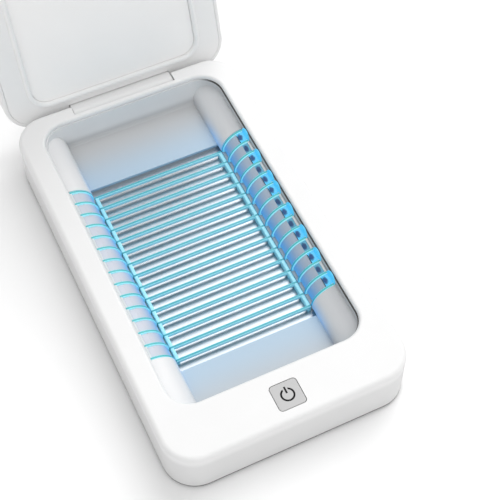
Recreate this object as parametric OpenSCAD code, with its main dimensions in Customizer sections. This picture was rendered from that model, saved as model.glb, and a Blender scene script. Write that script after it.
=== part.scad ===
// Ultraviolet sanitizer box for phones, modelled with its lid resting open on the hinge stop.
// X runs across the box, Y runs from the front (button) to the rear (hinge), Z is up.
// The origin is the centre of the footprint, on the table under the feet.

/* [Housing] */
// Width of the box
box_w = 128; // [124:1:150]
// Length of the box, front to rear
box_l = 222; // [216:1:250]
// Height of the closed base, from the table to the rim
base_h = 30; // [30:0.5:36]
// Plan radius of the outer corners
corner_r = 17; // [15:0.5:20]
// Rounding of the rim's outer edge
edge_r = 2.5; // [1:0.1:2.6]
// Wall thickness of the mouldings
wall = 2.2; // [1.8:0.1:2.4]
// Height of the rubber feet under the base plate
foot_h = 1; // [0.6:0.1:2]
// Thickness of the base plate
plate_t = 2; // [1.6:0.1:2.4]

/* [Chamber] */
// Width of the rim at each side of the mouth
side_rim = 11.2; // [11:0.1:13]
// Width of the rim in front of the mouth
front_rim = 26.9; // [25:0.1:32]
// Strip of rim left between the mouth and the hinge lug
rear_strip = 0.95; // [0.9:0.05:2]
// Corner radius of the chamber mouth
mouth_r = 12.9; // [10:0.1:14]
// Rounding of the lip around the mouth
lip_r = 1.6; // [1:0.1:1.8]
// Wall thickness of the chamber tub
tub_wall = 1.6; // [1.2:0.1:1.8]
// Step from the lip in to the tub's wall
tub_step = 0.5; // [0.3:0.1:0.8]
// Draft of the tub's walls, per side
tub_draft = 1.6; // [0.8:0.1:2]
// Height of the tub's floor above the table
tub_floor = 11.5; // [11:0.1:12.5]
// Height of the shadow gap under the lip
seam_h = 0.5; // [0.3:0.1:0.8]

/* [Guard ribs] */
// Number of guard ribs
rib_count = 15; // [9:1:15]
// Distance from one rib to the next
rib_pitch = 7.8; // [6:0.1:8]
// Thickness of a rib
rib_w = 1.6; // [1.2:0.1:2]
// Depth of a rib
rib_d = 2.4; // [1.8:0.1:2.6]
// Outer radius of the ribs' curve over each lamp
rib_r = 12.4; // [11.5:0.1:12.6]
// Distance from the ribs' upper end to the wall of the tub
rib_inset = 0.7; // [0.5:0.1:1.2]
// Height of the floor bars above the tub's floor
rib_lift = 0.9; // [0.6:0.1:1.5]
// Depth of the ribs' top under the rim
rib_drop = 5.6; // [5.4:0.1:7]
// How far the row of ribs stands forward of the mouth's middle
rib_shift = 4; // [0:0.5:5]

/* [Lamps] */
// Radius of a lamp tube
lamp_r = 2.9; // [2.4:0.1:3]
// Gap between a lamp and the reflector under it
lamp_gap = 2.1; // [1.6:0.1:2.4]
// Width of the reflector's trough under a lamp
trough_w = 13.4; // [12:0.1:14]
// Sheet thickness of the reflector tray
sheet_t = 0.6; // [0.4:0.1:0.8]

/* [Button] */
// Width and length of the power button
button_w = 14; // [12:0.5:16]
// Corner radius of the power button
button_r = 1.8; // [1:0.1:3]
// Gap all round the power button
button_gap = 0.3; // [0.2:0.05:0.5]
// Travel of the power button
button_travel = 0.6; // [0.3:0.1:0.6]
// Outer radius of the power sign
sign_r = 3.65; // [3:0.05:4.5]
// Stroke width of the power sign
sign_w = 0.95; // [0.6:0.05:1.2]

/* [Hinge] */
// Width of the hinge lug
lug_w = 58; // [40:1:60]
// Radius of the hinge lug about the pin
lug_r = 3.4; // [3:0.1:3.5]
// Depth of the pin's axis under the rim
hinge_drop = 4.7; // [4.6:0.1:5.4]
// Radius of the hinge pin
pin_r = 1.5; // [1:0.1:1.6]
// Radial play of the lug on the pin
pin_play = 0.05; // [0.02:0.01:0.08]
// Angle from the closed lid to the open stop
open_angle = 105; // [95:1:110]

/* [Lid] */
// Height of the lid, from its rim to its top
lid_h = 17.2; // [15:0.1:22]
// Rounding of the lid's top edge
lid_edge_r = 5; // [2:0.5:6]
// Gap between the closed lid and the rim of the base
lid_gap = 0.4; // [0.3:0.05:0.8]
// Radius of the bead that closes into the mouth
bead_r = 1.5; // [1:0.1:1.6]
// Thickness of the lid's inner panel
panel_t = 1.2; // [0.8:0.1:1.6]
// Depth of the inner panel under the liner's face
panel_sink = 0.6; // [0.3:0.1:1]

/* [Hidden] */
$fn = 72;

eps = 0.01;
fit = 0.2;

// levels of the base
plate_top = foot_h + plate_t;
skin_z = base_h - wall;
lip_z = base_h - lip_r;

// chamber mouth, measured at its clear opening
lug_front_gap = 0.35;
rear_rim = 2 * lug_r + lug_front_gap + rear_strip;
mouth_w = box_w - 2 * (side_rim + lip_r);
mouth_l = box_l - front_rim - rear_rim - 2 * lip_r;
mouth_y = (front_rim - rear_rim) / 2;
mouth_front = mouth_y - mouth_l / 2;
mouth_rear = mouth_y + mouth_l / 2;
tub_w = mouth_w - 2 * tub_step;
tub_l = mouth_l - 2 * tub_step;
tub_r = mouth_r - tub_step;
tub_under = tub_floor - tub_wall;
flange_w = 2.5;
flange_t = 1.6;

// guard ribs and the well they stand over
rib_y = mouth_y - rib_shift;
rib_row = (rib_count - 1) * rib_pitch;
rib_x = tub_w / 2 - rib_inset;
rib_foot_x = rib_x - rib_r;
rib_floor = tub_floor + rib_lift;
rib_top = base_h - rib_drop;
rib_z = rib_top - rib_r;
guard_gap = 0.3;
rail_w = 2;
rail_step = 0.2;
rail_end = 0.5;
shade_t = 1;
shade_step = 0.8;
shade_slot = 2;
shade_window = 4;
well_end = 5.3;
well_room = 1.2;
well_l = rib_row + rib_w + 2 * well_end;
well_x = tub_w / 2 + tub_wall + well_room;
well_top = rib_top + fit;

// reflector tray, named by its inner faces
tray_room = 0.5;
tray_drop = 1.8;
trough_drop = 2.1;
trough_r = 2.5;
tray_x = well_x + tray_room;
tray_top = rib_top + tray_room;
tray_mid_z = tub_under - tray_drop;
trough_x = tray_x - trough_w;
trough_z = tray_mid_z - trough_drop;
tray_rib_y = well_l * 0.37;
tray_rib_in = 1.2;

// lamps
lamp_x = tray_x - trough_w / 2;
lamp_z = trough_z + lamp_gap + lamp_r;
end_room = 1;
lamp_l = well_l - 2 * (end_room + fit);
cap_t = 0.25;
cap_l = 7;
holder_t = 0.85;
holder_w = 2 * (lamp_r + cap_t + holder_t);
holder_l = 4;
holder_y = well_l / 2 - end_room - holder_l / 2;

// front rim and what hangs under it
front_y = (mouth_front - lip_r - box_l / 2) / 2;
board_t = 1.6;
control_drop = 6.4;
control_z = skin_z - control_drop;
control_w = 52;
control_l = 18;
control_edge = 5;
control_screw_x = control_w / 2 - control_edge;
switch_w = 6.2;
switch_h = 2.8;
plunger_r = 1.7;
button_hole = button_w + 2 * button_gap;
button_lap = 1.5;
button_flange = button_w + 2 * button_lap;
button_flange_t = 1;
button_under = skin_z - fit - button_flange_t;
sign_t = 0.35;
magnet_r = 3;
magnet_t = 2;
magnet_x = 34;
magnet_ring = 1.2;

// screws: the base's own, and the small ones of boards, tub, hinge and lid
screw_r = 1.25;
screw_l = 10;
screw_head_r = 2.6;
screw_head_h = 1.5;
screw_head_sink = 0.1;
screw_play = 0.05;
pilot_room = 2;
small_r = 0.95;
small_bite = 3.2;
small_head_r = 1.9;
small_head_h = 1.1;
small_room = 0.4;
boss_r = 3;
small_boss_r = 2.4;
pad_t = 1.4;
rear_screw = [box_w / 2 - 10.5, box_l / 2 - 9.5];
side_screw = [box_w / 2 - wall - boss_r - 0.4, mouth_y - rib_shift];
front_screw = [box_w / 2 - 14, -box_l / 2 + 11];
base_screw_at = [rear_screw, side_screw, front_screw];
foot_r = 6;
foot_at = [box_w / 2 - 18, box_l / 2 - 25];
foot_sink = 1;

// tub screws, half way between the well and the ends of the mouth
tub_screw_x = box_w / 2 - wall - small_boss_r - 1.4;
tub_screw_y = [(mouth_front + rib_y - well_l / 2) / 2, (mouth_rear + rib_y + well_l / 2) / 2];
tub_ear_drop = 5.4;
tub_ear_z = skin_z - tub_ear_drop;
tub_ear_t = 1.6;

// driver board in the front of the base, between the front wall and the well
driver_room = 4.5;
driver_side = 5;
driver_edge = 4;
driver_over = 0.8;
driver_w = 2 * (front_screw[0] - boss_r - driver_side);
driver_rear = rib_y - well_l / 2 - driver_edge;
driver_l = driver_rear + box_l / 2 - wall - driver_room;
driver_y = driver_rear - driver_l / 2;
driver_z = tub_under - driver_over - small_head_h - board_t;
driver_top = driver_z + board_t;
driver_screw_x = driver_w / 2 - driver_edge;
driver_screw_y = driver_l / 2 - driver_edge;

// parts on the driver board
part_over = 4.4;
part_h = control_z - driver_top - part_over;
capacitor_r = 4;
capacitor_x = 5.5;
core_t = 2;
core_w = 10;
core_inner = capacitor_x + capacitor_r + 3.5;
core_outer = driver_screw_x - small_head_r - 1.1;
transformer_x = (core_inner + core_outer) / 2;
bobbin_l = core_outer - core_inner - 2 * core_t;
bobbin_t = 1;
winding_t = 1.1;
connector_w = 8;
connector_l = 6;
connector_h = 5;
connector_t = 0.8;
connector_x = driver_w / 2 - driver_side;
connector_y = front_y + 8;
ribbon_w = 8;
ribbon_t = 0.8;
ribbon_socket = [10, 3, 4];

// inlet board at the rear of the base
inlet_t = 1.2;
inlet_w = 22;
inlet_l = 20;
inlet_rise = 3;
inlet_z = plate_top + inlet_rise;
inlet_y = box_l / 2 - wall - small_room - inlet_l / 2;
inlet_screw_x = 7.5;
inlet_screw_y = inlet_y - 4;
socket_w = 8.94;
socket_h = 3.26;
socket_l = 7.35;
socket_t = 0.3;
socket_z = inlet_z + inlet_t + socket_h / 2;
socket_y = box_l / 2 - 0.6;

// leads on the base plate: one from the inlet, and one to each end of each lamp
lead_r = 1.3;
lead_z = plate_top + lead_r;
lead_room = 0.9;
plug_w = 8;
plug_l = 6;
wire_r = 0.7;
wire_step = 1.5;
wire_room = 0.5;
wire_in = 1.5;
wire_x = driver_screw_x - small_boss_r - plug_w * 0.95;
wire_bend = 1.8;
wire_z = plate_top + wire_r;
wire_y = lamp_l / 2 + fit - cap_l + wire_step;
wire_top = lamp_z - sqrt(pow(lamp_r + cap_t, 2) - pow(wire_step - wire_r, 2));

// hinge
hinge_y = box_l / 2 - lug_r;
hinge_z = base_h - hinge_drop;
lug_gap = 0.5;
lug_rise = 6;
stop_gap = 0.15;
notch_w = lug_w + 2 * lug_gap;
notch_front = hinge_y - lug_r - lug_front_gap;
notch_z = hinge_z - lug_r * tan(open_angle / 2) - stop_gap;
pocket_t = 1;
pocket_boss = 8;
pin_l = notch_w + 2 * pocket_boss - 2;
hinge_screw_x = 20;
hinge_screw_y = hinge_y - 1;
hinge_bite = 4;

// lid, in its closed place: its rim passes the rear edge of the base as it swings
swing_gap = 0.12;
swing_r = norm([lug_r - edge_r, hinge_drop - edge_r]) + edge_r;
rim_z = hinge_z + max(hinge_drop + lid_gap, swing_r + swing_gap);
lid_top = rim_z + lid_h;
lid_rim_r = 1.4;
liner_t = 1.8;
liner_gap = 0.15;
liner_w = box_w - 2 * (wall + liner_gap);
liner_l = box_l - 2 * (wall + liner_gap);
liner_r = corner_r - wall - liner_gap;
bead_inset = 0.3;
bead_w = tub_w - 2 * (bead_r + bead_inset);
bead_l = tub_l - 2 * (bead_r + bead_inset);
bead_path_r = tub_r - bead_r - bead_inset;
bead_z = rim_z - 0.3;
panel_w = bead_w - 2 * bead_r;
panel_l = bead_l - 2 * bead_r;
panel_r = bead_path_r - bead_r;
shelf_t = 2;
shelf_z = rim_z + panel_sink + panel_t;
shelf_lap = 2;
seat_t = 2;
seat_wall = 2;
lid_screw_x = panel_w / 2 - 9;
lid_screw_y = [mouth_y - panel_l / 2 + 9, mouth_y, mouth_y + panel_l / 2 - 9];
lid_pilot = 6;
lid_bite = 3;

// ---------- shared shapes ----------

// rectangle with round corners
module rounded_rect(w, l, r) {
  square([w - 2 * r, l], center = true);
  square([w, l - 2 * r], center = true);
  for (sx = [-1, 1], sy = [-1, 1])
    translate([sx * (w / 2 - r), sy * (l / 2 - r)]) circle(r);
}

// block with round corners in plan
module rounded_block(w, l, h, r) {
  linear_extrude(h) rounded_rect(w, l, r);
}

// a profile carried around a rounded rectangle: its x runs outwards from the path, its y runs up
module sweep_around(w, l, r) {
  for (turn = [0, 1]) rotate(180 * turn) {
    translate([w / 2, l / 2 - r, 0]) rotate([90, 0, 0]) linear_extrude(l - 2 * r) children();
    translate([w / 2 - r, l / 2, 0]) rotate([90, 0, 90]) mirror([1, 0, 0]) rotate([0, 180, 0])
      linear_extrude(w - 2 * r) children();
    for (side = [0, 1]) mirror([0, side, 0])
      translate([w / 2 - r, l / 2 - r, 0]) rotate_extrude(angle = 90) translate([r, 0]) children();
  }
}

// block with round corners in plan, its top edge rounded by top_r and its bottom edge by low_r
module soft_block(w, l, h, r, top_r, low_r = 0) {
  lap = 1;
  translate([0, 0, low_r]) rounded_block(w, l, h - top_r - low_r, r);
  rounded_block(w - 2 * top_r, l - 2 * top_r, h, r - top_r);
  translate([0, 0, h - top_r]) sweep_around(w - 2 * top_r, l - 2 * top_r, r - top_r) {
    intersection() {
      circle(top_r);
      square(top_r);
    }
  }
  if (low_r > 0) translate([0, 0, low_r]) mirror([0, 0, 1])
    sweep_around(w - 2 * low_r, l - 2 * low_r, r - low_r) {
      intersection() {
        circle(low_r);
        square(low_r);
      }
      translate([-lap, 0]) square([lap, low_r]);
    }
}

// a copy on each side of the box's middle
module both_sides() {
  children();
  mirror([1, 0, 0]) children();
}

// pan head screw, its shank running up from the head
module screw(r, head_r, head_h, length) {
  cylinder(h = head_h, r = head_r);
  translate([0, 0, head_h]) cylinder(h = length, r = r);
}

// the lid's pieces, turned from the closed place to the open stop
module opened() {
  translate([0, hinge_y, hinge_z]) rotate([-open_angle, 0, 0]) translate([0, -hinge_y, -hinge_z])
    children();
}

// ---------- housing ----------

module base_screw_places() {
  for (at = base_screw_at) both_sides() translate([at[0], at[1], 0]) children();
}

module tub_screw_places() {
  for (y = tub_screw_y) both_sides() translate([tub_screw_x, y, 0]) children();
}

module lip_profile() {
  translate([lip_r, 0]) intersection() {
    circle(lip_r);
    translate([-lip_r, 0]) square([lip_r + 1, lip_r]);
  }
  translate([lip_r, 0]) square([1, lip_r]);
  translate([0, skin_z - lip_z]) square([lip_r + 1, lip_z - skin_z]);
}

module hinge_pocket() {
  span = notch_w + 2 * pocket_boss;
  depth = box_l / 2 - wall / 2 - notch_front + pocket_t;
  translate([-span / 2, notch_front - pocket_t, notch_z - pocket_t - fit])
    cube([span, depth, skin_z - notch_z + pocket_t + fit + eps]);
}

module base_shell() color("whitesmoke") {
  difference() {
    union() {
      difference() {
        translate([0, 0, foot_h]) soft_block(box_w, box_l, base_h - foot_h, corner_r, edge_r);
        translate([0, 0, foot_h - 1])
          rounded_block(box_w - 2 * wall, box_l - 2 * wall, skin_z - foot_h + 1, corner_r - wall);
        translate([0, mouth_y, skin_z - 1])
          rounded_block(mouth_w + 2 * lip_r + 1, mouth_l + 2 * lip_r + 1, wall + 2, mouth_r + lip_r + 0.5);
      }
      translate([0, mouth_y, lip_z]) sweep_around(mouth_w, mouth_l, mouth_r) lip_profile();
      hinge_pocket();
      base_screw_places() translate([0, 0, plate_top + pad_t])
        cylinder(h = skin_z - plate_top - pad_t + eps, r = boss_r);
      tub_screw_places() translate([0, 0, tub_ear_z + tub_ear_t])
        cylinder(h = skin_z - tub_ear_z - tub_ear_t + eps, r = small_boss_r);
      both_sides() {
        translate([control_screw_x, front_y, control_z + board_t])
          cylinder(h = skin_z - control_z - board_t + eps, r = small_boss_r);
        translate([magnet_x, front_y, skin_z - magnet_t])
          cylinder(h = magnet_t + eps, r = magnet_r + magnet_ring);
      }
    }
    // notch for the hinge lug, open to the top and the rear
    translate([-notch_w / 2, notch_front, notch_z]) cube([notch_w, box_l, base_h]);
    // bores of the hinge pin
    translate([-box_w / 4 - notch_w / 4, hinge_y, hinge_z]) rotate([0, 90, 0])
      cylinder(h = box_w / 2 + notch_w / 2, r = pin_r + 0.02);
    // hole of the power button
    translate([0, front_y, skin_z - 1]) rounded_block(button_hole, button_hole, wall + 2, button_r + button_gap);
    // window of the inlet socket
    translate([0, box_l / 2 + 1, socket_z]) rotate([90, 0, 0])
      rounded_block(socket_w + 2 * fit, socket_h + 2 * fit, wall + 2, socket_h / 2 + fit - eps);
    // pilot holes
    base_screw_places() translate([0, 0, plate_top]) cylinder(h = screw_l, r = screw_r + screw_play);
    tub_screw_places() translate([0, 0, tub_ear_z])
      cylinder(h = tub_ear_t + small_bite + small_room, r = small_r + screw_play);
    both_sides() {
      translate([control_screw_x, front_y, control_z])
        cylinder(h = board_t + small_bite + small_room, r = small_r + screw_play);
      translate([magnet_x, front_y, skin_z - magnet_t - eps])
        cylinder(h = magnet_t + eps, r = magnet_r + 0.05);
    }
  }
}

module tray_ribs() {
  mid = trough_x - tray_rib_in;
  side = trough_w - 2 * tray_rib_in;
  for (step = [-1, 0, 1]) translate([0, rib_y + step * tray_rib_y - rib_w / 2, plate_top - eps]) {
    difference() {
      translate([-mid, 0, 0]) cube([2 * mid, rib_w, tray_mid_z - sheet_t - plate_top + eps]);
      translate([-lead_r - lead_room, -eps, eps])
        cube([2 * (lead_r + lead_room), rib_w + 2 * eps, 2 * lead_r + lead_room]);
    }
    both_sides() difference() {
      translate([trough_x + tray_rib_in, 0, 0]) cube([side, rib_w, trough_z - sheet_t - plate_top + eps]);
      translate([lamp_x - wire_step - wire_r - wire_room, -eps, eps])
        cube([2 * (wire_r + wire_room), rib_w + 2 * eps, base_h]);
    }
  }
}

module base_plate() color("gainsboro") {
  difference() {
    union() {
      translate([0, 0, foot_h])
        rounded_block(box_w - 2 * wall - 2 * fit, box_l - 2 * wall - 2 * fit, plate_t, corner_r - wall - fit);
      base_screw_places() translate([0, 0, plate_top - eps]) cylinder(h = pad_t + eps, r = boss_r);
      tray_ribs();
      for (sx = [-1, 1], sy = [-1, 1])
        translate([sx * driver_screw_x, driver_y + sy * driver_screw_y, plate_top - eps])
          cylinder(h = driver_z - plate_top + eps, r = small_boss_r);
      both_sides() translate([inlet_screw_x, inlet_screw_y, plate_top - eps])
        cylinder(h = inlet_z - plate_top + eps, r = small_boss_r);
    }
    base_screw_places() {
      translate([0, 0, foot_h - eps])
        cylinder(h = screw_head_h + screw_head_sink + eps, r = screw_head_r + fit);
      cylinder(h = base_h / 2, r = screw_r + fit);
    }
    for (sx = [-1, 1], sy = [-1, 1]) {
      translate([sx * foot_at[0], sy * foot_at[1], foot_h - eps]) cylinder(h = foot_sink + eps, r = foot_r + 0.1);
      translate([sx * driver_screw_x, driver_y + sy * driver_screw_y, plate_top])
        cylinder(h = driver_z, r = small_r + screw_play);
    }
    both_sides() translate([inlet_screw_x, inlet_screw_y, plate_top])
      cylinder(h = inlet_z, r = small_r + screw_play);
  }
}

module rubber_feet() color("dimgray") {
  for (sx = [-1, 1], sy = [-1, 1]) translate([sx * foot_at[0], sy * foot_at[1], 0])
    cylinder(h = foot_h + foot_sink, r = foot_r);
}

module base_screws() color("silver") {
  base_screw_places() translate([0, 0, foot_h + screw_head_sink])
    screw(screw_r, screw_head_r, screw_head_h, screw_l);
}

// ---------- chamber ----------

// outline of the tub's inner wall at a height, offset outwards by out
module tub_slice(z, out) {
  inset = tub_draft * (skin_z - z) / (skin_z - tub_floor);
  translate([0, mouth_y, z]) linear_extrude(eps)
    rounded_rect(tub_w - 2 * inset + 2 * out, tub_l - 2 * inset + 2 * out, tub_r - inset + out);
}

module chamber_tub() color("lightgray") {
  difference() {
    union() {
      hull() {
        tub_slice(skin_z - eps, tub_wall);
        tub_slice(tub_under, tub_wall);
      }
      // flange under the lip, cut straight in front of the hinge pocket
      intersection() {
        translate([0, mouth_y, skin_z - flange_t])
          rounded_block(tub_w + 2 * tub_wall + 2 * flange_w, tub_l + 2 * tub_wall + 2 * flange_w, flange_t,
            tub_r + tub_wall + flange_w);
        translate([-box_w / 2, -box_l / 2, 0])
          cube([box_w, box_l / 2 + notch_front - pocket_t - fit, base_h]);
      }
      // ears for the tub's screws
      tub_screw_places() {
        translate([0, 0, tub_ear_z]) cylinder(h = tub_ear_t, r = small_boss_r);
        translate([-tub_screw_x + tub_w / 2 - tub_draft, -small_boss_r, tub_ear_z])
          cube([tub_screw_x - tub_w / 2 + tub_draft, 2 * small_boss_r, tub_ear_t]);
      }
    }
    // room of the chamber, with a round foot
    hull() {
      tub_slice(skin_z, 0);
      tub_slice(tub_floor + 1.6, 0);
      tub_slice(tub_floor + 0.5, -0.5);
      tub_slice(tub_floor, -1.6);
    }
    // shadow gap under the lip
    difference() {
      translate([0, mouth_y, skin_z - seam_h])
        rounded_block(mouth_w + 0.4, mouth_l + 0.4, seam_h + 1, mouth_r + 0.2);
      translate([0, mouth_y, skin_z - seam_h - 1]) rounded_block(tub_w - 2, tub_l - 2, seam_h + 3, tub_r - 1);
    }
    // well and side windows for the lamps
    translate([-well_x, rib_y - well_l / 2, 0]) cube([2 * well_x, well_l, well_top]);
    tub_screw_places() translate([0, 0, tub_ear_z - 1]) cylinder(h = tub_ear_t + 2, r = small_r + fit);
  }
}

module tub_screws() color("silver") {
  tub_screw_places() translate([0, 0, tub_ear_z - small_head_h])
    screw(small_r, small_head_r, small_head_h, tub_ear_t + small_bite);
}

// the places of the ribs, for a section drawn across the box
module rib_places() {
  for (i = [0 : rib_count - 1])
    translate([0, rib_y - rib_row / 2 + i * rib_pitch + rib_w / 2, 0]) rotate([90, 0, 0])
      linear_extrude(rib_w) children();
}

// a rail along the whole row of ribs
module rib_rail() {
  translate([0, rib_y + (rib_row + rib_w) / 2, 0]) rotate([90, 0, 0]) linear_extrude(rib_row + rib_w)
    children();
}

module floor_grid() color("paleturquoise") {
  half = rib_foot_x - guard_gap;
  rib_places() translate([-half, rib_floor - rib_d]) square([2 * half, rib_d]);
  rib_rail() for (x = [-half, half - rail_w])
    translate([x, tray_mid_z]) square([rail_w, rib_floor - tray_mid_z]);
}

// section of a side guard's rib: a leg on the reflector tray, then a quarter of a ring over the lamp
module guard_section() {
  intersection() {
    translate([rib_x, rib_z]) difference() {
      circle(rib_r, $fn = 144);
      circle(rib_r - rib_d, $fn = 144);
    }
    translate([rib_foot_x - 1, rib_z]) square([rib_r + 1, rib_r + 1]);
  }
  translate([rib_foot_x, tray_mid_z]) square([rib_d, rib_z - tray_mid_z + eps]);
}

// section of the curved shade between the ribs, with a slot under it and a window above it
module shade_section() {
  intersection() {
    translate([rib_x, rib_z]) difference() {
      circle(rib_r - shade_step, $fn = 144);
      circle(rib_r - shade_step - shade_t, $fn = 144);
    }
    translate([rib_foot_x, rib_z + shade_slot]) square([rib_r - shade_window, rib_r]);
  }
}

module side_guard() {
  rib_places() guard_section();
  rib_rail() shade_section();
  rib_rail() translate([rib_x - rail_w / 2, rib_top - rib_d + rail_step])
    square([rail_w / 2 + rail_end, rib_d - 2 * rail_step]);
  rib_rail() translate([rib_foot_x + rail_step, tray_mid_z])
    square([rail_w, rib_floor - rib_d / 2 - tray_mid_z]);
}

module guard_right() color("paleturquoise") side_guard();

module guard_left() color("paleturquoise") mirror([1, 0, 0]) side_guard();

// ---------- lamps ----------

// the space above the reflector, grown outwards by t
module tray_section(t) {
  translate([-tray_x - t, tray_mid_z - t]) square([2 * tray_x + 2 * t, tray_top - tray_mid_z + t]);
  for (s = [-1, 1]) translate([s * (trough_x + tray_x) / 2, 0]) {
    w = tray_x - trough_x + 2 * t;
    r = trough_r + t;
    translate([-w / 2, trough_z - t + r]) square([w, tray_mid_z - trough_z + 1]);
    translate([-w / 2 + r, trough_z - t]) square([w - 2 * r, r + 1]);
    for (c = [-1, 1]) translate([c * (w / 2 - r), trough_z - t + r]) circle(r);
  }
}

module reflector_tray() color("aliceblue") {
  difference() {
    translate([0, rib_y + well_l / 2, 0]) rotate([90, 0, 0]) linear_extrude(well_l) difference() {
      tray_section(sheet_t);
      tray_section(0);
      translate([-tray_x, tray_mid_z]) square([2 * tray_x, base_h]);
      translate([-box_w / 2, tray_top]) square([box_w, base_h]);
    }
    both_sides() for (s = [-1, 1]) translate([lamp_x - s * wire_step, rib_y + s * wire_y, 0])
      cylinder(h = tray_mid_z, r = wire_r + wire_room);
  }
  // end walls, up to the underside of the tub's floor
  for (s = [0, 1]) mirror([0, s, 0]) translate([0, (s ? -rib_y : rib_y) + well_l / 2 + sheet_t, 0])
    rotate([90, 0, 0]) linear_extrude(sheet_t) intersection() {
      tray_section(sheet_t);
      translate([-box_w / 2, 0]) square([box_w, tub_under - fit]);
    }
}

module lamp_tube() {
  translate([lamp_x, rib_y + lamp_l / 2 - lamp_r, lamp_z]) rotate([90, 0, 0]) {
    cylinder(h = lamp_l - 2 * lamp_r, r = lamp_r);
    sphere(lamp_r);
    translate([0, 0, lamp_l - 2 * lamp_r]) sphere(lamp_r);
  }
}

module lamp_right() color("lightcyan") lamp_tube();

module lamp_left() color("lightcyan") mirror([1, 0, 0]) lamp_tube();

module lamp_ends() {
  both_sides() for (s = [-1, 1]) translate([lamp_x, rib_y, lamp_z]) rotate([-90 * s, 0, 0]) children();
}

module lamp_caps() color("silver") lamp_ends() difference() {
  translate([0, 0, lamp_l / 2 + fit - cap_l]) cylinder(h = cap_l, r = lamp_r + cap_t);
  cylinder(h = lamp_l / 2 - lamp_r, r = lamp_r + 0.02);
  translate([0, 0, lamp_l / 2 - lamp_r]) sphere(lamp_r + 0.02);
}

module lamp_holders() color("white") {
  both_sides() for (s = [-1, 1]) translate([lamp_x, rib_y + s * holder_y + holder_l / 2, 0])
    rotate([90, 0, 0]) linear_extrude(holder_l) difference() {
      union() {
        translate([-holder_w / 2, trough_z]) square([holder_w, lamp_z - trough_z]);
        translate([0, lamp_z]) circle(holder_w / 2);
      }
      translate([0, lamp_z]) circle(lamp_r + cap_t + 0.02);
    }
}

// ---------- electronics ----------

module board(w, l, t) {
  rounded_block(w, l, t, 1.5);
}

module driver_places() {
  for (sx = [-1, 1], sy = [-1, 1]) translate([sx * driver_screw_x, driver_y + sy * driver_screw_y, 0])
    children();
}

module driver_board() color("seagreen") difference() {
  translate([0, driver_y, driver_z]) board(driver_w, driver_l, board_t);
  driver_places() translate([0, 0, driver_z - 1]) cylinder(h = board_t + 2, r = small_r + fit);
}

// one lamp transformer: bobbin with its winding between flanges, and the core around it
module transformer() {
  r = part_h / 2 - bobbin_t / 4;
  translate([0, 0, part_h / 2]) rotate([0, 90, 0]) {
    translate([0, 0, -bobbin_l / 2]) cylinder(h = bobbin_l, r = r - winding_t);
    for (end = [-1, 0, 1]) translate([0, 0, (end * (bobbin_l - bobbin_t) - bobbin_t) / 2])
      cylinder(h = bobbin_t, r = r);
  }
  for (s = [-1, 1]) translate([(s * (bobbin_l + core_t) - core_t) / 2, -core_w / 2, 0])
    cube([core_t, core_w, part_h]);
  translate([-bobbin_l / 2, -core_w / 2, 0]) cube([bobbin_l, core_w, bobbin_t]);
}

module driver_transformers() color("goldenrod") {
  both_sides() translate([transformer_x, front_y - bobbin_t, driver_top]) transformer();
}

module driver_capacitors() color("slategray") {
  both_sides() translate([capacitor_x, front_y, driver_top]) {
    cylinder(h = part_h, r = capacitor_r - bobbin_t / 2);
    cylinder(h = bobbin_t, r = capacitor_r);
  }
}

// housing of a plug between the base plate and a board above it
module plug_housing(x, front, board_z) {
  translate([x - plug_w / 2, front, plate_top]) cube([plug_w, plug_l, board_z - plate_top]);
}

module driver_connectors() color("ivory") {
  both_sides() translate([connector_x, connector_y, driver_top]) difference() {
    translate([-connector_w / 2, -connector_l / 2, 0]) cube([connector_w, connector_l, connector_h]);
    translate([-connector_w / 2 + connector_t, -connector_l / 2 + connector_t, connector_t])
      cube([connector_w - 2 * connector_t, connector_l - 2 * connector_t, connector_h]);
  }
  translate([-ribbon_socket[0] / 2, connector_y - ribbon_socket[1] / 2, driver_top]) cube(ribbon_socket);
  plug_housing(0, driver_rear - plug_l, driver_z);
  plug_housing(0, inlet_y - inlet_l / 2, inlet_z);
  both_sides() plug_housing(wire_x + plug_w / 4, driver_rear - plug_l, driver_z);
}

module driver_screws() color("silver") {
  driver_places() translate([0, 0, driver_top + small_head_h]) mirror([0, 0, 1])
    screw(small_r, small_head_r, small_head_h, board_t + small_bite - small_room);
}

module control_board() color("seagreen") difference() {
  translate([0, front_y, control_z]) board(control_w, control_l, board_t);
  both_sides() translate([control_screw_x, front_y, control_z - 1])
    cylinder(h = board_t + 2, r = small_r + fit);
}

module control_screws() color("silver") {
  both_sides() translate([control_screw_x, front_y, control_z - small_head_h])
    screw(small_r, small_head_r, small_head_h, board_t + small_bite);
}

module switch_body() color("dimgray") difference() {
  translate([0, front_y, control_z + board_t]) rounded_block(switch_w, switch_w, switch_h, 0.6);
  translate([0, front_y, control_z + board_t + 1]) cylinder(h = switch_h, r = plunger_r + 0.05);
}

module switch_plunger() color("black") {
  low = control_z + board_t + 1 + button_travel + 0.1;
  translate([0, front_y, low]) cylinder(h = button_under - low, r = plunger_r);
}

// ---------- button ----------

module sign_outline() {
  difference() {
    circle(sign_r);
    circle(sign_r - sign_w);
    translate([-sign_w * 1.3, 0]) square([sign_w * 2.6, 2 * sign_r]);
  }
  translate([-sign_w / 2, sign_r * 0.2]) square([sign_w, sign_r]);
}

module power_button() color("silver") {
  difference() {
    union() {
      translate([0, front_y, button_under]) rounded_block(button_flange, button_flange, button_flange_t, button_r + 1.5);
      translate([0, front_y, button_under]) soft_block(button_w, button_w, base_h - button_under, button_r, 0.3);
    }
    translate([0, front_y, base_h - sign_t]) linear_extrude(1) sign_outline();
  }
}

module power_sign() color("black") {
  translate([0, front_y, base_h - sign_t]) linear_extrude(sign_t) sign_outline();
}

// ---------- inlet ----------

module inlet_board() color("seagreen") difference() {
  translate([0, inlet_y, inlet_z]) board(inlet_w, inlet_l, inlet_t);
  both_sides() translate([inlet_screw_x, inlet_screw_y, inlet_z - 1]) cylinder(h = 4, r = small_r + fit);
}

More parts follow.
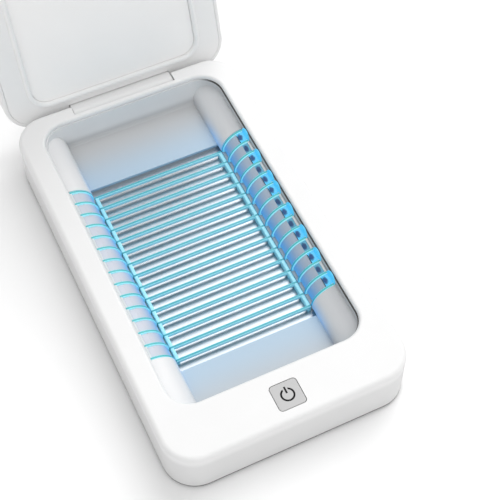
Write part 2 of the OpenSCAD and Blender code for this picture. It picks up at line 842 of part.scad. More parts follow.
module inlet_socket() color("silver") {
  translate([0, socket_y, socket_z]) rotate([90, 0, 0]) {
    difference() {
      rounded_block(socket_w, socket_h, socket_l, socket_h / 2 - eps);
      translate([0, 0, -1]) rounded_block(socket_w - 2 * socket_t, socket_h - 2 * socket_t,
        socket_l + 1 - 2 * socket_t, socket_h / 2 - socket_t - eps);
    }
    translate([-socket_w * 0.37, -socket_t * 1.2, socket_t * 3])
      cube([socket_w * 0.74, socket_t * 2.4, socket_l - socket_t * 4]);
  }
}

module inlet_screws() color("silver") {
  both_sides() translate([inlet_screw_x, inlet_screw_y, inlet_z + inlet_t + small_head_h])
    mirror([0, 0, 1]) screw(small_r, small_head_r, small_head_h, inlet_t + small_bite - 2 * small_room);
}

module power_lead() color("dimgray") {
  lead_l = inlet_y - inlet_l / 2 - driver_rear;
  translate([0, driver_rear, lead_z]) rotate([-90, 0, 0]) cylinder(h = lead_l, r = lead_r);
}

// a straight stretch of wire along +Y, with what follows at its end
module wire_run(length) {
  rotate([-90, 0, 0]) cylinder(h = length, r = wire_r);
  translate([0, length, 0]) children();
}

// a quarter bend towards +X, turned about the wire, with what follows at its end
module wire_turn(turn) {
  rotate([0, turn, 0]) {
    translate([wire_bend, 0, 0]) rotate([0, 0, 90]) rotate_extrude(angle = 90)
      translate([wire_bend, 0]) circle(wire_r);
    translate([wire_bend, wire_bend, 0]) rotate([0, 0, -90]) children();
  }
}

// a lead out of the plug, across to the lamp, along to the place end_y, and up to the lamp's cap
module lamp_lead(side, out, end_y) {
  translate([wire_x + side * wire_step, driver_rear, wire_z]) wire_run(out) wire_turn(0)
    wire_run(lamp_x - wire_x - 2 * wire_bend) wire_turn(180)
      wire_run(end_y - driver_rear - out - 3 * wire_bend) wire_turn(90)
        wire_run(wire_top - wire_z - wire_bend);
}

module lamp_leads() color("white") both_sides() {
  lamp_lead(1, wire_in, rib_y - wire_y);
  lamp_lead(-1, wire_in + 2 * wire_step, rib_y + wire_y);
}

module control_lead() color("gray") {
  low = driver_top + ribbon_socket[2];
  translate([-ribbon_w / 2, connector_y - ribbon_t / 2, low]) cube([ribbon_w, ribbon_t, control_z - low]);
}

// ---------- catch magnets ----------

module base_magnets() color("silver") {
  both_sides() translate([magnet_x, front_y, skin_z - magnet_t]) cylinder(h = magnet_t, r = magnet_r);
}

module lid_magnets() color("silver") opened() {
  both_sides() translate([magnet_x, front_y, rim_z + liner_t]) cylinder(h = magnet_t, r = magnet_r);
}

// ---------- hinge ----------

module hinge_pin() color("silver") {
  translate([-pin_l / 2, hinge_y, hinge_z]) rotate([0, 90, 0]) cylinder(h = pin_l, r = pin_r);
}

module hinge_lug() color("whitesmoke") opened() difference() {
  translate([-lug_w / 2, hinge_y, hinge_z]) rotate([90, 0, 90]) linear_extrude(lug_w) {
    circle(lug_r);
    translate([-lug_r, 0]) square([2 * lug_r, rim_z + lug_rise - hinge_z]);
  }
  translate([-lug_w, hinge_y, hinge_z]) rotate([0, 90, 0]) cylinder(h = 2 * lug_w, r = pin_r + pin_play);
  for (s = [-1, 0, 1]) translate([s * hinge_screw_x, hinge_screw_y, rim_z + lug_rise - hinge_bite - small_room])
    cylinder(h = lug_rise, r = small_r + screw_play);
}

module hinge_screws() color("silver") opened() {
  for (s = [-1, 0, 1])
    translate([s * hinge_screw_x, hinge_screw_y, rim_z + lug_rise + fit + seat_t + small_head_h])
      mirror([0, 0, 1]) screw(small_r, small_head_r, small_head_h, seat_t + hinge_bite);
}

// ---------- lid ----------

module lid_screw_places() {
  for (y = lid_screw_y) both_sides() translate([lid_screw_x, y, 0]) children();
}

module lid_shell() color("whitesmoke") opened() {
  shelf_top = shelf_z + shelf_t;
  difference() {
    union() {
      difference() {
        translate([0, 0, rim_z]) soft_block(box_w, box_l, lid_h, corner_r, lid_edge_r, lid_rim_r);
        translate([0, 0, rim_z - 1])
          soft_block(box_w - 2 * wall, box_l - 2 * wall, lid_h - wall + 1, corner_r - wall, lid_edge_r - wall / 2);
      }
      lid_screw_places() translate([0, 0, shelf_top])
        cylinder(h = lid_top - wall - shelf_top + eps, r = boss_r);
    }
    translate([-lug_w / 2 - liner_gap, box_l / 2 - 2 * wall, rim_z - 1])
      cube([lug_w + 2 * liner_gap, 3 * wall, lug_rise + 1 + liner_gap]);
    lid_screw_places() translate([0, 0, shelf_top - eps]) cylinder(h = lid_pilot, r = small_r + screw_play);
  }
}

module lid_liner() color("gainsboro") opened() {
  pocket_w = lug_w + 2 * lug_gap;
  difference() {
    union() {
      translate([0, 0, rim_z]) rounded_block(liner_w, liner_l, liner_t, liner_r);
      translate([0, mouth_y, rim_z + liner_t / 2])
        rounded_block(panel_w + 2 * shelf_lap, panel_l + 2 * shelf_lap,
          shelf_z + shelf_t - rim_z - liner_t / 2, panel_r + shelf_lap);
      translate([0, mouth_y, bead_z]) sweep_around(bead_w, bead_l, bead_path_r) circle(bead_r);
      // seat of the hinge lug
      translate([-pocket_w / 2 - seat_wall, notch_front - seat_wall, rim_z + eps])
        cube([pocket_w + 2 * seat_wall, liner_l / 2 - notch_front + seat_wall - eps, lug_rise + fit + seat_t - eps]);
      both_sides() translate([magnet_x, front_y, rim_z + eps])
        cylinder(h = liner_t + magnet_t - eps, r = magnet_r + magnet_ring);
    }
    translate([0, mouth_y, rim_z - bead_r - 1])
      rounded_block(panel_w + 2 * liner_gap, panel_l + 2 * liner_gap, shelf_z - rim_z + bead_r + 1,
        panel_r + liner_gap);
    translate([-pocket_w / 2, notch_front, rim_z - 1]) cube([pocket_w, box_l, lug_rise + fit + 1]);
    both_sides() translate([magnet_x, front_y, rim_z + liner_t]) cylinder(h = magnet_t + 1, r = magnet_r + 0.05);
    for (s = [-1, 0, 1]) translate([s * hinge_screw_x, hinge_screw_y, rim_z])
      cylinder(h = lug_rise + 2 * seat_t, r = small_r + fit);
    lid_screw_places() {
      translate([0, 0, shelf_z - eps]) cylinder(h = small_head_h + screw_head_sink, r = small_head_r + fit);
      translate([0, 0, shelf_z - eps]) cylinder(h = 2 * shelf_t, r = small_r + fit);
    }
  }
}

module lid_panel() color("lightgray") opened() {
  translate([0, mouth_y, rim_z + panel_sink]) rounded_block(panel_w, panel_l, panel_t, panel_r);
}

module lid_screws() color("silver") opened() {
  lid_screw_places() translate([0, 0, shelf_z + screw_head_sink - eps])
    screw(small_r, small_head_r, small_head_h, shelf_t + lid_bite);
}

base_shell();
base_plate();
rubber_feet();
base_screws();
chamber_tub();
tub_screws();
reflector_tray();
floor_grid();
guard_left();
guard_right();
lamp_left();
lamp_right();
lamp_caps();
lamp_holders();
driver_board();
driver_transformers();
driver_capacitors();
driver_connectors();
driver_screws();
control_board();
control_screws();
switch_body();
switch_plunger();
power_button();
power_sign();
inlet_board();
inlet_socket();
inlet_screws();
power_lead();
lamp_leads();
control_lead();
base_magnets();
hinge_pin();
hinge_lug();
hinge_screws();
lid_shell();
lid_liner();
lid_panel();
lid_screws();
lid_magnets();
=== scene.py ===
"""Looks of an ultraviolet sanitizer box for phones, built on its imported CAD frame."""

import logging
import math
from dataclasses import dataclass
from enum import Enum
from typing import Any, Callable, Iterable, Sequence, Union

import bmesh
import bpy
from mathutils import Matrix, Vector


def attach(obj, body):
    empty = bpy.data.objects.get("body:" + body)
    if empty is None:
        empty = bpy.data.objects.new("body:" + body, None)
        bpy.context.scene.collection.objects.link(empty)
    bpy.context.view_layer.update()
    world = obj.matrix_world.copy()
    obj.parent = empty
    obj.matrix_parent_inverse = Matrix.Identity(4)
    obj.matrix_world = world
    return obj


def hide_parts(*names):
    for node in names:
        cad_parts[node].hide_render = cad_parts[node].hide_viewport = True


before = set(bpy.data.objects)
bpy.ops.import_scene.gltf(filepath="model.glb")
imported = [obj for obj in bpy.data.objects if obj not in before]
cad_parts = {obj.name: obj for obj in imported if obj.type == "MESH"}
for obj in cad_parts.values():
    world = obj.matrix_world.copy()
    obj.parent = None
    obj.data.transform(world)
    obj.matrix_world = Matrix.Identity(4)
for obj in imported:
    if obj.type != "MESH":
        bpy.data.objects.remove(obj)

LOG = logging.getLogger("sanitizer_box")
MM = 0.001
SHARP = math.radians(38.0)  # edges above this angle stay sharp
MERGE = 1e-4  # points nearer than this become one, in millimetres
Colour = tuple[float, float, float]
Point = tuple[float, float]


class Body(Enum):
    """CAD body that a piece rides on."""

    BASE = "base"
    LID = "lid"


# ---------- shader expressions ----------


def _maths(operation: str, swapped: bool = False) -> Callable[..., "Signal"]:
    """Makes a method of Signal that adds one Math node.

    Args:
        operation: name of the Math node's operation.
        swapped: True where the other value comes first.

    Returns:
        The method.
    """

    def method(self: "Signal", other: "Number" = 0.0) -> "Signal":
        """Returns the node's result for self and other."""
        left, right = (other, self) if swapped else (self, other)
        return self.tree.add("ShaderNodeMath", {"operation": operation}, {0: left, 1: right})

    return method


class Signal:
    """A number's socket in a material, which joins in Python expressions."""

    def __init__(self, tree: "FinishTree", socket: bpy.types.NodeSocket) -> None:
        """Keeps the tree and the socket."""
        self.tree = tree
        self.socket = socket

    __add__ = __radd__ = _maths("ADD")
    __sub__, __rsub__ = _maths("SUBTRACT"), _maths("SUBTRACT", swapped=True)
    __mul__ = __rmul__ = _maths("MULTIPLY")
    __truediv__, __mod__, __pow__ = _maths("DIVIDE"), _maths("FLOORED_MODULO"), _maths("POWER")
    __gt__, __lt__, __abs__ = _maths("GREATER_THAN"), _maths("LESS_THAN"), _maths("ABSOLUTE")
    at_most, at_least = _maths("MINIMUM"), _maths("MAXIMUM")

    def step(self, low: float, high: float) -> "Signal":
        """Returns a smooth step.

        Args:
            low: value where the step starts, at 0.
            high: value where it ends, at 1.

        Returns:
            The step's height, 0 to 1.
        """
        return self.tree.add(
            "ShaderNodeMapRange",
            {"interpolation_type": "SMOOTHSTEP"},
            {"Value": self, "From Min": low, "From Max": high},
        )


Number = Union[Signal, float]


class FinishTree:
    """Node tree of one material around its shader."""

    def __init__(self, name: str, colour: Colour, roughness: float, metallic: float = 0.0) -> None:
        """Makes the material.

        Args:
            name: the material's name.
            colour: base colour before any node.
            roughness: roughness before any node.
            metallic: 0 for plastics, 1 for metals.
        """
        self.material = bpy.data.materials.new(name)
        self.material.use_nodes = True
        self.links = self.material.node_tree.links
        self.nodes = self.material.node_tree.nodes
        self.shader = self.nodes["Principled BSDF"]
        self.set("Base Color", (*colour, 1.0))
        self.set("Roughness", roughness)
        self.set("Metallic", metallic)
        self.place = self.add("ShaderNodeTexCoord", {}, {}, output="Object")

    def set(self, socket: str, value: Any) -> None:
        """Sets a constant of the shader, or links a signal to it."""
        self._feed(self.shader.inputs[socket], value)

    def _feed(self, socket: bpy.types.NodeSocket, value: Any) -> None:
        """Gives a socket a link or a constant.

        Args:
            socket: input socket.
            value: signal, or a constant of the socket's own kind.
        """
        if isinstance(value, Signal):
            self.links.new(value.socket, socket)
        else:
            socket.default_value = value

    def add(
        self, kind: str, settings: dict[str, Any], inputs: dict[Any, Any], output: str | int = 0
    ) -> Signal:
        """Adds any node.

        Args:
            kind: the node's type.
            settings: its properties, set before its sockets.
            inputs: values or signals, by socket name or number.
            output: name or number of the output that is wanted.

        Returns:
            The output's signal.
        """
        node = self.nodes.new(kind)
        for key, value in settings.items():
            setattr(node, key, value)
        for key, value in inputs.items():
            self._feed(node.inputs[key], value)
        return Signal(self, node.outputs[output])

    def axes(self) -> tuple[Signal, Signal, Signal]:
        """Splits the place of a point of the surface.

        Returns:
            Its X, Y and Z, in metres.
        """
        node = self.nodes.new("ShaderNodeSeparateXYZ")
        self.links.new(self.place.socket, node.inputs[0])
        return tuple(Signal(self, node.outputs[i]) for i in range(3))

    def mapped(self, scale: Sequence[float]) -> Signal:
        """Returns the coordinates, stretched by a factor along each axis."""
        return self.add("ShaderNodeMapping", {}, {"Vector": self.place, "Scale": tuple(scale)})

    def noise(
        self, size: float, detail: float = 2.0, rough: float = 0.5, space: Signal | None = None
    ) -> Signal:
        """Adds noise.

        Args:
            size: size of its patches in metres, or in the units of space.
            detail: number of finer layers.
            rough: strength of the finer layers.
            space: stretched coordinates, if not the object's own.

        Returns:
            Values about 0.5.
        """
        inputs = {"Vector": space or self.place, "Scale": 1 / size, "Detail": detail, "Roughness": rough}
        return self.add("ShaderNodeTexNoise", {}, inputs)

    def cells(self, size: float) -> Signal:
        """Returns the distance from the nearest middle of cells, whose size is in metres."""
        return self.add("ShaderNodeTexVoronoi", {}, {"Vector": self.place, "Scale": 1 / size})

    def blend(self, factor: Number, first: Any, second: Any) -> Signal:
        """Mixes two colours.

        Args:
            factor: 0 for the first, 1 for the second.
            first: colour or signal.
            second: colour or signal.

        Returns:
            The mixed colour.
        """
        pair = [(*c, 1.0) if isinstance(c, tuple) and len(c) == 3 else c for c in (first, second)]
        inputs = {0: factor, 6: pair[0], 7: pair[1]}
        return self.add("ShaderNodeMix", {"data_type": "RGBA"}, inputs, output=2)

    def glow(self, colour: Any, strength: float) -> None:
        """Sets the light that the surface gives: a colour or a signal, and its strength."""
        self.set("Emission Color", colour)
        self.set("Emission Strength", strength)

    def relief(self, height: Number, depth: float, strength: float = 1.0) -> None:
        """Feeds a bump to the shader.

        Args:
            height: signal from 0 to 1.
            depth: depth in metres.
            strength: share of it that shows.
        """
        inputs = {"Height": height, "Distance": depth, "Strength": strength}
        self.set("Normal", self.add("ShaderNodeBump", {}, inputs))


# ---------- finishes ----------


def tint(colour: Colour, factor: float, lift: float = 0.0) -> Colour:
    """Returns a colour times a factor, plus a lift, at most white."""
    return tuple(min(1.0, c * factor + lift) for c in colour)


@dataclass(frozen=True)
class Finish:
    """A named finish, made once and then shared."""

    name: str
    colour: Colour = (0.8, 0.8, 0.8)
    roughness: float = 0.42
    metallic: float = 0.0

    def material(self) -> bpy.types.Material:
        """Finds the finish's material, or makes it on first use.

        Returns:
            The material.
        """
        found = bpy.data.materials.get(self.name)
        if found:
            return found
        tree = FinishTree(self.name, self.colour, self.roughness, self.metallic)
        self.fill(tree)
        return tree.material

    def fill(self, tree: FinishTree) -> None:
        """Adds the finish's nodes; each kind of finish has its own."""
        raise NotImplementedError


@dataclass(frozen=True)
class Moulded(Finish):
    """Moulded plastic with a fine spark-eroded grain, faint flow marks and handling gloss.

    With a shade above 0, what lies below a set height is darkened as painted shade, and a painted shadow line
    runs at the foot.
    """

    grain: float = 0.00045
    grain_depth: float = 0.00002
    tone: float = 0.03
    # strength of the painted shade on the lower walls; the lowest heights also get a painted shadow line
    shade: float = 0.0
    painted_shade_z: Point = (0.0215, 0.0265)
    foot_z: Point = (0.00150, 0.00190)
    ior: float = 1.49

    def fill(self, tree: FinishTree) -> None:
        """Adds the finish's nodes.

        Args:
            tree: node tree of the new material.
        """
        flow = tree.noise(0.045, 3.0, 0.55)
        handled = tree.noise(0.012, 2.0, 0.6)
        grain = tree.noise(self.grain, 2.0, 0.6)
        pits = tree.cells(self.grain * 1.6)
        dark = tint(self.colour, 1 - self.tone)
        light = tint(self.colour, 1 + self.tone * 0.6)
        colour = tree.blend(flow.step(0.3, 0.7), dark, light)
        if self.shade:
            # painted shade on the lower walls, then a painted shadow line at the foot
            z = tree.axes()[2]
            low = (1 - z.step(*self.painted_shade_z)) * self.shade
            colour = tree.blend(low, colour, tint(self.colour, 0.75))
            colour = tree.blend(1 - z.step(*self.foot_z), colour, (0.06, 0.06, 0.06))
        tree.set("Base Color", colour)
        tree.set("Roughness", self.roughness + (handled - 0.5) * 0.12 + (grain - 0.5) * 0.06)
        tree.relief(grain * 0.6 + pits * 0.4, self.grain_depth, 0.6)
        tree.set("IOR", self.ior)


@dataclass(frozen=True)
class TubMoulding(Finish):
    """Tub's pale plastic with light walls and a matt floor; painted shade greys the floor, the right-hand
    wall and the seam gap on the right, and a painted blue lamp glow lies near the well.
    """

    colour: Colour = (0.76, 0.76, 0.77)
    roughness: float = 0.45
    floor_z: float = 0.0115
    well: Point = (0.0512, 0.0607)
    well_y: float = 0.0054
    rise: float = 0.006
    reach: float = 0.03
    # heights of the painted shade in the seam gap
    seam_shade_z: Point = (0.0268, 0.0271)
    # colour of the painted blue lamp glow near the well
    painted_glow: Colour = (0.0, 0.04, 0.11)
    # strength of the painted shadow on the right-hand wall
    shadow: float = 0.6

    def fill(self, tree: FinishTree) -> None:
        """Adds the finish's nodes.

        Args:
            tree: node tree of the new material.
        """
        x, y, z = tree.axes()
        flow = tree.noise(0.05, 3.0, 0.5)
        grain = tree.noise(0.0005, 2.0, 0.6)
        low = 1 - z.step(self.floor_z + 0.0003, self.floor_z + self.rise)
        near = 1 - (abs(y - self.well_y) - self.well[1]).at_least(0.0).step(0.0, self.reach)
        wall = tree.blend(flow.step(0.3, 0.7), (0.75, 0.755, 0.765), (0.79, 0.79, 0.795))
        # floor colour: painted shade greys it, with a painted blue tint of lamp light near the well
        base = tree.blend(near, (0.5, 0.51, 0.52), (0.4, 0.5, 0.56))
        # painted shadow over the right-hand wall
        wall = tree.blend(x.step(0.036, 0.0495) * self.shadow, wall, (0.4, 0.42, 0.44))
        # painted shade in the seam gap, on the right only
        seam = z.step(*self.seam_shade_z) * x.step(0.042, 0.0495)
        wall = tree.blend(seam, wall, (0.1, 0.095, 0.09))
        tree.set("Base Color", tree.blend(low * 0.92, wall, base))
        # painted blue lamp glow on the floor near the well
        tree.glow(tree.blend(low * near, (0.0, 0.0, 0.0), self.painted_glow), 1.0)
        tree.set("Roughness", 0.45 + low * 0.1 + (flow - 0.5) * 0.08)
        tree.relief(grain, 0.00002, 0.6)


@dataclass(frozen=True)
class LitRibs(Finish):
    """Clear ribs with a painted glow for the lamp's light under them: teal along the middle, painted
    highlights along both edges.
    """

    colour: Colour = (0.74, 0.86, 0.9)
    roughness: float = 0.3
    first_y: float = -0.0492
    pitch: float = 0.0078
    core: Point = (0.0004, 0.0006)
    low: float = 0.0118
    high: float = 0.0235
    strength: float = 0.35

    def fill(self, tree: FinishTree) -> None:
        """Adds the finish's nodes.

        Args:
            tree: node tree of the new material.
        """
        _, y, z = tree.axes()
        rise = z.step(self.low, self.high)
        across = abs(((y - self.first_y) / self.pitch + 0.5) % 1 - 0.5) * self.pitch
        edge = across.step(*self.core)
        cloud = tree.noise(0.004, 2.0, 0.5)
        # painted lamp light: bluer towards the foot, with painted highlights along both edges
        core = tree.blend(rise, (0.02, 0.3, 0.5), (0.08, 0.42, 0.44))
        rim = tree.blend(rise, (0.16, 0.56, 0.85), (0.4, 0.82, 0.88))
        tree.set("Base Color", tree.blend(edge, core, rim))
        # painted glow, brightest along the edges
        lit = tree.blend(edge, tree.blend(rise, (0.0, 0.3, 0.8), (0.02, 0.36, 0.38)), (0.26, 0.8, 1.0))
        tree.glow(tree.blend(cloud * 0.4, lit, (0.0, 0.0, 0.0)), self.strength)
        tree.set("Roughness", 0.27 + cloud * 0.1)
        tree.relief(tree.noise(0.0005), 0.00002, 0.5)


@dataclass(frozen=True)
class LitShade(Finish):
    """Frosted shade between the ribs: pale at the crest, painted blue lamp light and painted glow towards the
    foot, painted shade on the right-hand row.
    """

    colour: Colour = (0.56, 0.58, 0.65)
    roughness: float = 0.4
    low: float = 0.0138
    high: float = 0.0228
    strength: float = 0.45

    def fill(self, tree: FinishTree) -> None:
        """Adds the finish's nodes.

        Args:
            tree: node tree of the new material.
        """
        x, _, z = tree.axes()
        cloud = tree.noise(0.006, 3.0, 0.55)
        rise = (z + (cloud - 0.5) * 0.0012).step(self.low, self.high)
        # painted shade: the right-hand row is darker
        pale = tree.blend(x.step(-0.01, 0.01), self.colour, (0.36, 0.42, 0.5))
        # painted blue lamp light towards the foot
        tree.set("Base Color", tree.blend(rise, (0.12, 0.34, 0.62), pale))
        # painted glow, strongest towards the foot
        tree.glow(tree.blend(rise, (0.01, 0.2, 0.62), (0.02, 0.035, 0.05)), self.strength)
        tree.set("Roughness", 0.36 + cloud * 0.14)
        tree.relief(tree.noise(0.0006), 0.00003, 0.5)


@dataclass(frozen=True)
class LitLens(Finish):
    """Diffuser over the lamp: a painted bright blue glow for the lamp's light, dimmed to a dark patch at the
    foot of each window.
    """

    colour: Colour = (0.1, 0.3, 0.5)
    roughness: float = 0.3
    lit: Colour = (0.03, 0.36, 0.66)
    strength: float = 0.8
    spot_x: float = 0.0469
    spot: Point = (0.0012, 0.002)
    first_y: float = -0.0492
    pitch: float = 0.0078

    def fill(self, tree: FinishTree) -> None:
        """Adds the finish's nodes.

        Args:
            tree: node tree of the new material.
        """
        x, y, _ = tree.axes()
        cloud = tree.noise(0.0015, 2.0, 0.5)
        along = abs(((y - self.first_y) / self.pitch) % 1 - 0.5) * (self.pitch / self.spot[1])
        across = (abs(x) - self.spot_x) / self.spot[0]
        # mask of the painted glow, dark in a patch at each window's foot
        bright = (along ** 2 + abs(across) ** 2 + (cloud - 0.5) * 1.2).step(0.3, 1.9)
        lit = tree.blend(cloud, tint(self.lit, 0.82), tint(self.lit, 1.15))
        # painted glow and a matching painted base colour
        tree.glow(tree.blend(bright, (0.002, 0.03, 0.12), lit), self.strength)
        tree.set("Base Color", tree.blend(bright, (0.02, 0.06, 0.14), (0.1, 0.36, 0.5)))
        tree.set("Roughness", 0.22 + cloud * 0.16)
        tree.relief(tree.noise(0.0004), 0.00002, 0.5)


@dataclass(frozen=True)
class Brushed(Finish):
    """Metal with fine lines along one axis and faint stains."""

    roughness: float = 0.3
    metallic: float = 1.0
    line: tuple[float, float, float] = (1.0, 0.02, 1.0)
    width: float = 0.0002

    def fill(self, tree: FinishTree) -> None:
        """Adds the finish's nodes.

        Args:
            tree: node tree of the new material.
        """
        lines = tree.noise(self.width, 3.0, 0.6, tree.mapped(self.line))
        stain = tree.noise(0.02, 3.0, 0.6)
        dark = tint(self.colour, 0.82)
        tree.set("Base Color", tree.blend(lines * 0.5 + stain * 0.5, dark, self.colour))
        tree.set("Roughness", self.roughness + (lines - 0.5) * 0.16 + (stain - 0.5) * 0.1)
        tree.relief(lines, 0.000015, 0.5)


@dataclass(frozen=True)
class Rubber(Finish):
    """Matt rubber or silicone with a dusty bloom and tiny pores."""

    colour: Colour = (0.05, 0.05, 0.05)
    roughness: float = 0.8

    def fill(self, tree: FinishTree) -> None:
        """Adds the finish's nodes.

        Args:
            tree: node tree of the new material.
        """
        bloom = tree.noise(0.006, 4.0, 0.6)
        pores = tree.cells(0.0006)
        pale = tint(self.colour, 1.35, 0.03)
        tree.set("Base Color", tree.blend(bloom.step(0.45, 0.75), self.colour, pale))
        tree.set("Roughness", self.roughness - bloom * 0.1)
        tree.relief(pores.step(0.0, 0.4) * 0.6 + bloom * 0.4, 0.00004, 0.6)


@dataclass(frozen=True)
class LampGlass(Finish):
    """Quartz tube of a lit lamp: a bright core that dims to blue towards the electrodes."""

    colour: Colour = (0.6, 0.8, 0.95)
    roughness: float = 0.08
    middle_y: float = 0.0054
    half: float = 0.0595
    strength: float = 4.0

    def fill(self, tree: FinishTree) -> None:
        """Adds the finish's nodes.

        Args:
            tree: node tree of the new material.
        """
        _, y, _ = tree.axes()
        ends = abs(y - self.middle_y).step(self.half * 0.86, self.half * 0.99)
        haze = tree.noise(0.008, 3.0, 0.5, tree.mapped((1.0, 0.25, 1.0)))
        glow = tree.blend(haze, (0.02, 0.36, 1.0), (0.12, 0.6, 1.0))
        tree.glow(tree.blend(ends, glow, (0.01, 0.03, 0.2)), self.strength)
        tree.set("Base Color", tree.blend(ends, (0.6, 0.85, 1.0), (0.3, 0.3, 0.34)))
        tree.set("Roughness", 0.06 + haze * 0.08)


@dataclass(frozen=True)
class CircuitBoard(Finish):
    """Solder-masked board with tracks, pads and plated holes."""

    colour: Colour = (0.02, 0.16, 0.07)
    roughness: float = 0.3
    pitch: float = 0.00254

    def fill(self, tree: FinishTree) -> None:
        """Adds the finish's nodes.

        Args:
            tree: node tree of the new material.
        """
        x, y, _ = tree.axes()
        u, v = x / self.pitch, y / self.pitch
        corner = tree.add("ShaderNodeCombineXYZ", {}, {0: u - u % 1, 1: v - v % 1})
        cell = tree.add("ShaderNodeTexWhiteNoise", {"noise_dimensions": "2D"}, {"Vector": corner})
        across = abs(u % 1 - 0.5) < 0.14
        along = abs(v % 1 - 0.5) < 0.14
        hub = ((u % 1 - 0.5) ** 2 + (v % 1 - 0.5) ** 2) ** 0.5
        pad = (hub < 0.3) * (cell > 0.72)
        hole = (hub < 0.15) * (cell > 0.72)
        track = (across * (cell < 0.4) + along * (cell > 0.55)).at_most(1.0)
        weave = tree.noise(0.0006, 2.0, 0.5)
        mask = tree.blend(track, (0.012, 0.13, 0.055), (0.03, 0.24, 0.1))
        plated = tree.blend(pad, mask, (0.72, 0.7, 0.62))
        tree.set("Base Color", tree.blend(hole, plated, (0.01, 0.01, 0.01)))
        tree.set("Metallic", pad * (1 - hole) * 0.9)
        tree.set("Roughness", 0.3 + weave * 0.12 - pad * 0.1)
        tree.relief(track * 0.6 + pad * 0.4 + weave * 0.1, 0.00005, 0.7)


@dataclass(frozen=True)
class Striped(Finish):
    """Ribbon or sleeve with stripes across X."""

    colour: Colour = (0.5, 0.5, 0.52)
    groove: Colour = (0.2, 0.2, 0.22)
    pitch: float = 0.001
    share: float = 0.2
    roughness: float = 0.4

    def fill(self, tree: FinishTree) -> None:
        """Adds the finish's nodes.

        Args:
            tree: node tree of the new material.
        """
        place = tree.axes()[0] / self.pitch
        near = abs(place % 1 - 0.5) * 2
        groove = 1 - near.step(self.share * 0.4, self.share)
        mottle = tree.noise(0.003, 3.0, 0.6)
        raised = tree.blend(mottle, self.colour, tint(self.colour, 0.85))
        tree.set("Base Color", tree.blend(groove, raised, self.groove))
        tree.set("Roughness", self.roughness + (mottle - 0.5) * 0.15)
        tree.relief(1 - groove, self.pitch * 0.12, 0.8)


class Finishes:
    """Every finish of the box."""

    # the housing's lower walls get painted shade and a painted shadow line at the foot
    housing = Moulded("housing_moulding_painted_shade", colour=(0.82, 0.82, 0.82), roughness=0.44, tone=0.012, shade=0.5)
    lid_shell = Moulded("lid_moulding", colour=(0.82, 0.82, 0.82), roughness=0.42, tone=0.012)
    liner = Moulded("liner_moulding", colour=(0.86, 0.86, 0.86), roughness=0.4, tone=0.015)
    panel = Moulded(
        "panel_moulding", colour=(0.96, 0.945, 0.935), roughness=0.5, tone=0.015, grain_depth=0.00003
    )
    tub = TubMoulding("tub_moulding")
    plate = Moulded(
        "plate_moulding", colour=(0.55, 0.56, 0.57), roughness=0.55, grain=0.0007, grain_depth=0.00005
    )
    button = Moulded("button_moulding", colour=(0.5, 0.5, 0.5), roughness=0.38, tone=0.015)
    sign = Moulded("sign_ink", colour=(0.012, 0.012, 0.013), roughness=0.6, tone=0.1, ior=1.2)
    switch = Moulded("switch_moulding", colour=(0.02, 0.02, 0.022), roughness=0.45, tone=0.15)
    plunger = Moulded("plunger_moulding", colour=(0.08, 0.02, 0.02), roughness=0.4, tone=0.1)
    nylon = Moulded("connector_nylon", colour=(0.75, 0.72, 0.62), roughness=0.5, tone=0.05)
    wire = Moulded("wire_sleeve", colour=(0.78, 0.78, 0.76), roughness=0.5, tone=0.06)
    lead = Moulded("lead_sleeve", colour=(0.07, 0.07, 0.075), roughness=0.55, tone=0.15)
    steel = Brushed("screw_steel", colour=(0.62, 0.62, 0.63), roughness=0.28, line=(1, 1, 0.1))
    pin = Brushed("pin_steel", colour=(0.6, 0.6, 0.61), roughness=0.22, line=(0.05, 1, 1))
    socket = Brushed("socket_steel", colour=(0.66, 0.66, 0.67), roughness=0.25, line=(1, 0.1, 1))
    magnet = Brushed("magnet_nickel", colour=(0.68, 0.66, 0.62), roughness=0.16, line=(1, 1, 1))
    reflector = Brushed("rolled_aluminium", colour=(0.5, 0.54, 0.58), roughness=0.34, line=(1, 0.02, 1))
    cap = Brushed("cap_metal", colour=(0.78, 0.78, 0.78), roughness=0.5, line=(1, 0.1, 1))
    foot = Rubber("foot_rubber", colour=(0.06, 0.06, 0.06))
    holder = Rubber("holder_silicone", colour=(0.72, 0.73, 0.74), roughness=0.6)
    board = CircuitBoard("board_mask")
    ribbon = Striped("ribbon_sleeve", colour=(0.45, 0.46, 0.48))
    capacitor = Striped(
        "capacitor_sleeve", colour=(0.03, 0.05, 0.12), groove=(0.5, 0.5, 0.5), pitch=0.012, share=0.1
    )
    # the guard, shade, lens, blank and arch finishes carry a painted glow that stands for the lamps' light
    guard = LitRibs("guard_plastic_painted_glow")
    shade = LitShade("shade_plastic_painted_light")
    lens = LitLens("window_lens")
    blank = LitLens("window_blank", lit=(0.05, 0.12, 0.2), strength=0.4)
    arch = LitLens("window_arch", spot_x=0.03, lit=(0.04, 0.4, 0.7), strength=0.75)
    # painted lamp glow near the well and painted shadow on the right, both stronger than the tub's
    roll = TubMoulding("roll_moulding_painted_light", rise=0.009, reach=0.022, painted_glow=(0.0, 0.11, 0.34), shadow=0.8)
    rail = Moulded("rail_plastic", colour=(0.7, 0.74, 0.76), roughness=0.4)
    # the floor bars carry a faint painted glow
    bars = LitRibs("floor_bar_plastic_painted_glow", low=0.004, high=0.016, strength=0.12)
    lamp = LampGlass("lamp_quartz")
    ferrite = Moulded(
        "core_ferrite", colour=(0.06, 0.06, 0.065), roughness=0.6, tone=0.2, grain=0.0008, grain_depth=0.00005
    )
    copper = Brushed("coil_copper", colour=(0.75, 0.36, 0.13), roughness=0.25, line=(1, 1, 1), width=0.0006)
    tape = Moulded("coil_tape", colour=(0.72, 0.5, 0.05), roughness=0.3, tone=0.12, grain=0.001)
    chip = Moulded("chip_resin", colour=(0.025, 0.025, 0.027), roughness=0.5, tone=0.2)
    solder = Brushed("solder_tin", colour=(0.7, 0.7, 0.68), roughness=0.35, line=(1, 1, 1), width=0.0005)
    gold = Brushed("contact_gold", colour=(0.85, 0.62, 0.22), roughness=0.25, line=(1, 0.1, 1))


# ---------- studio ----------


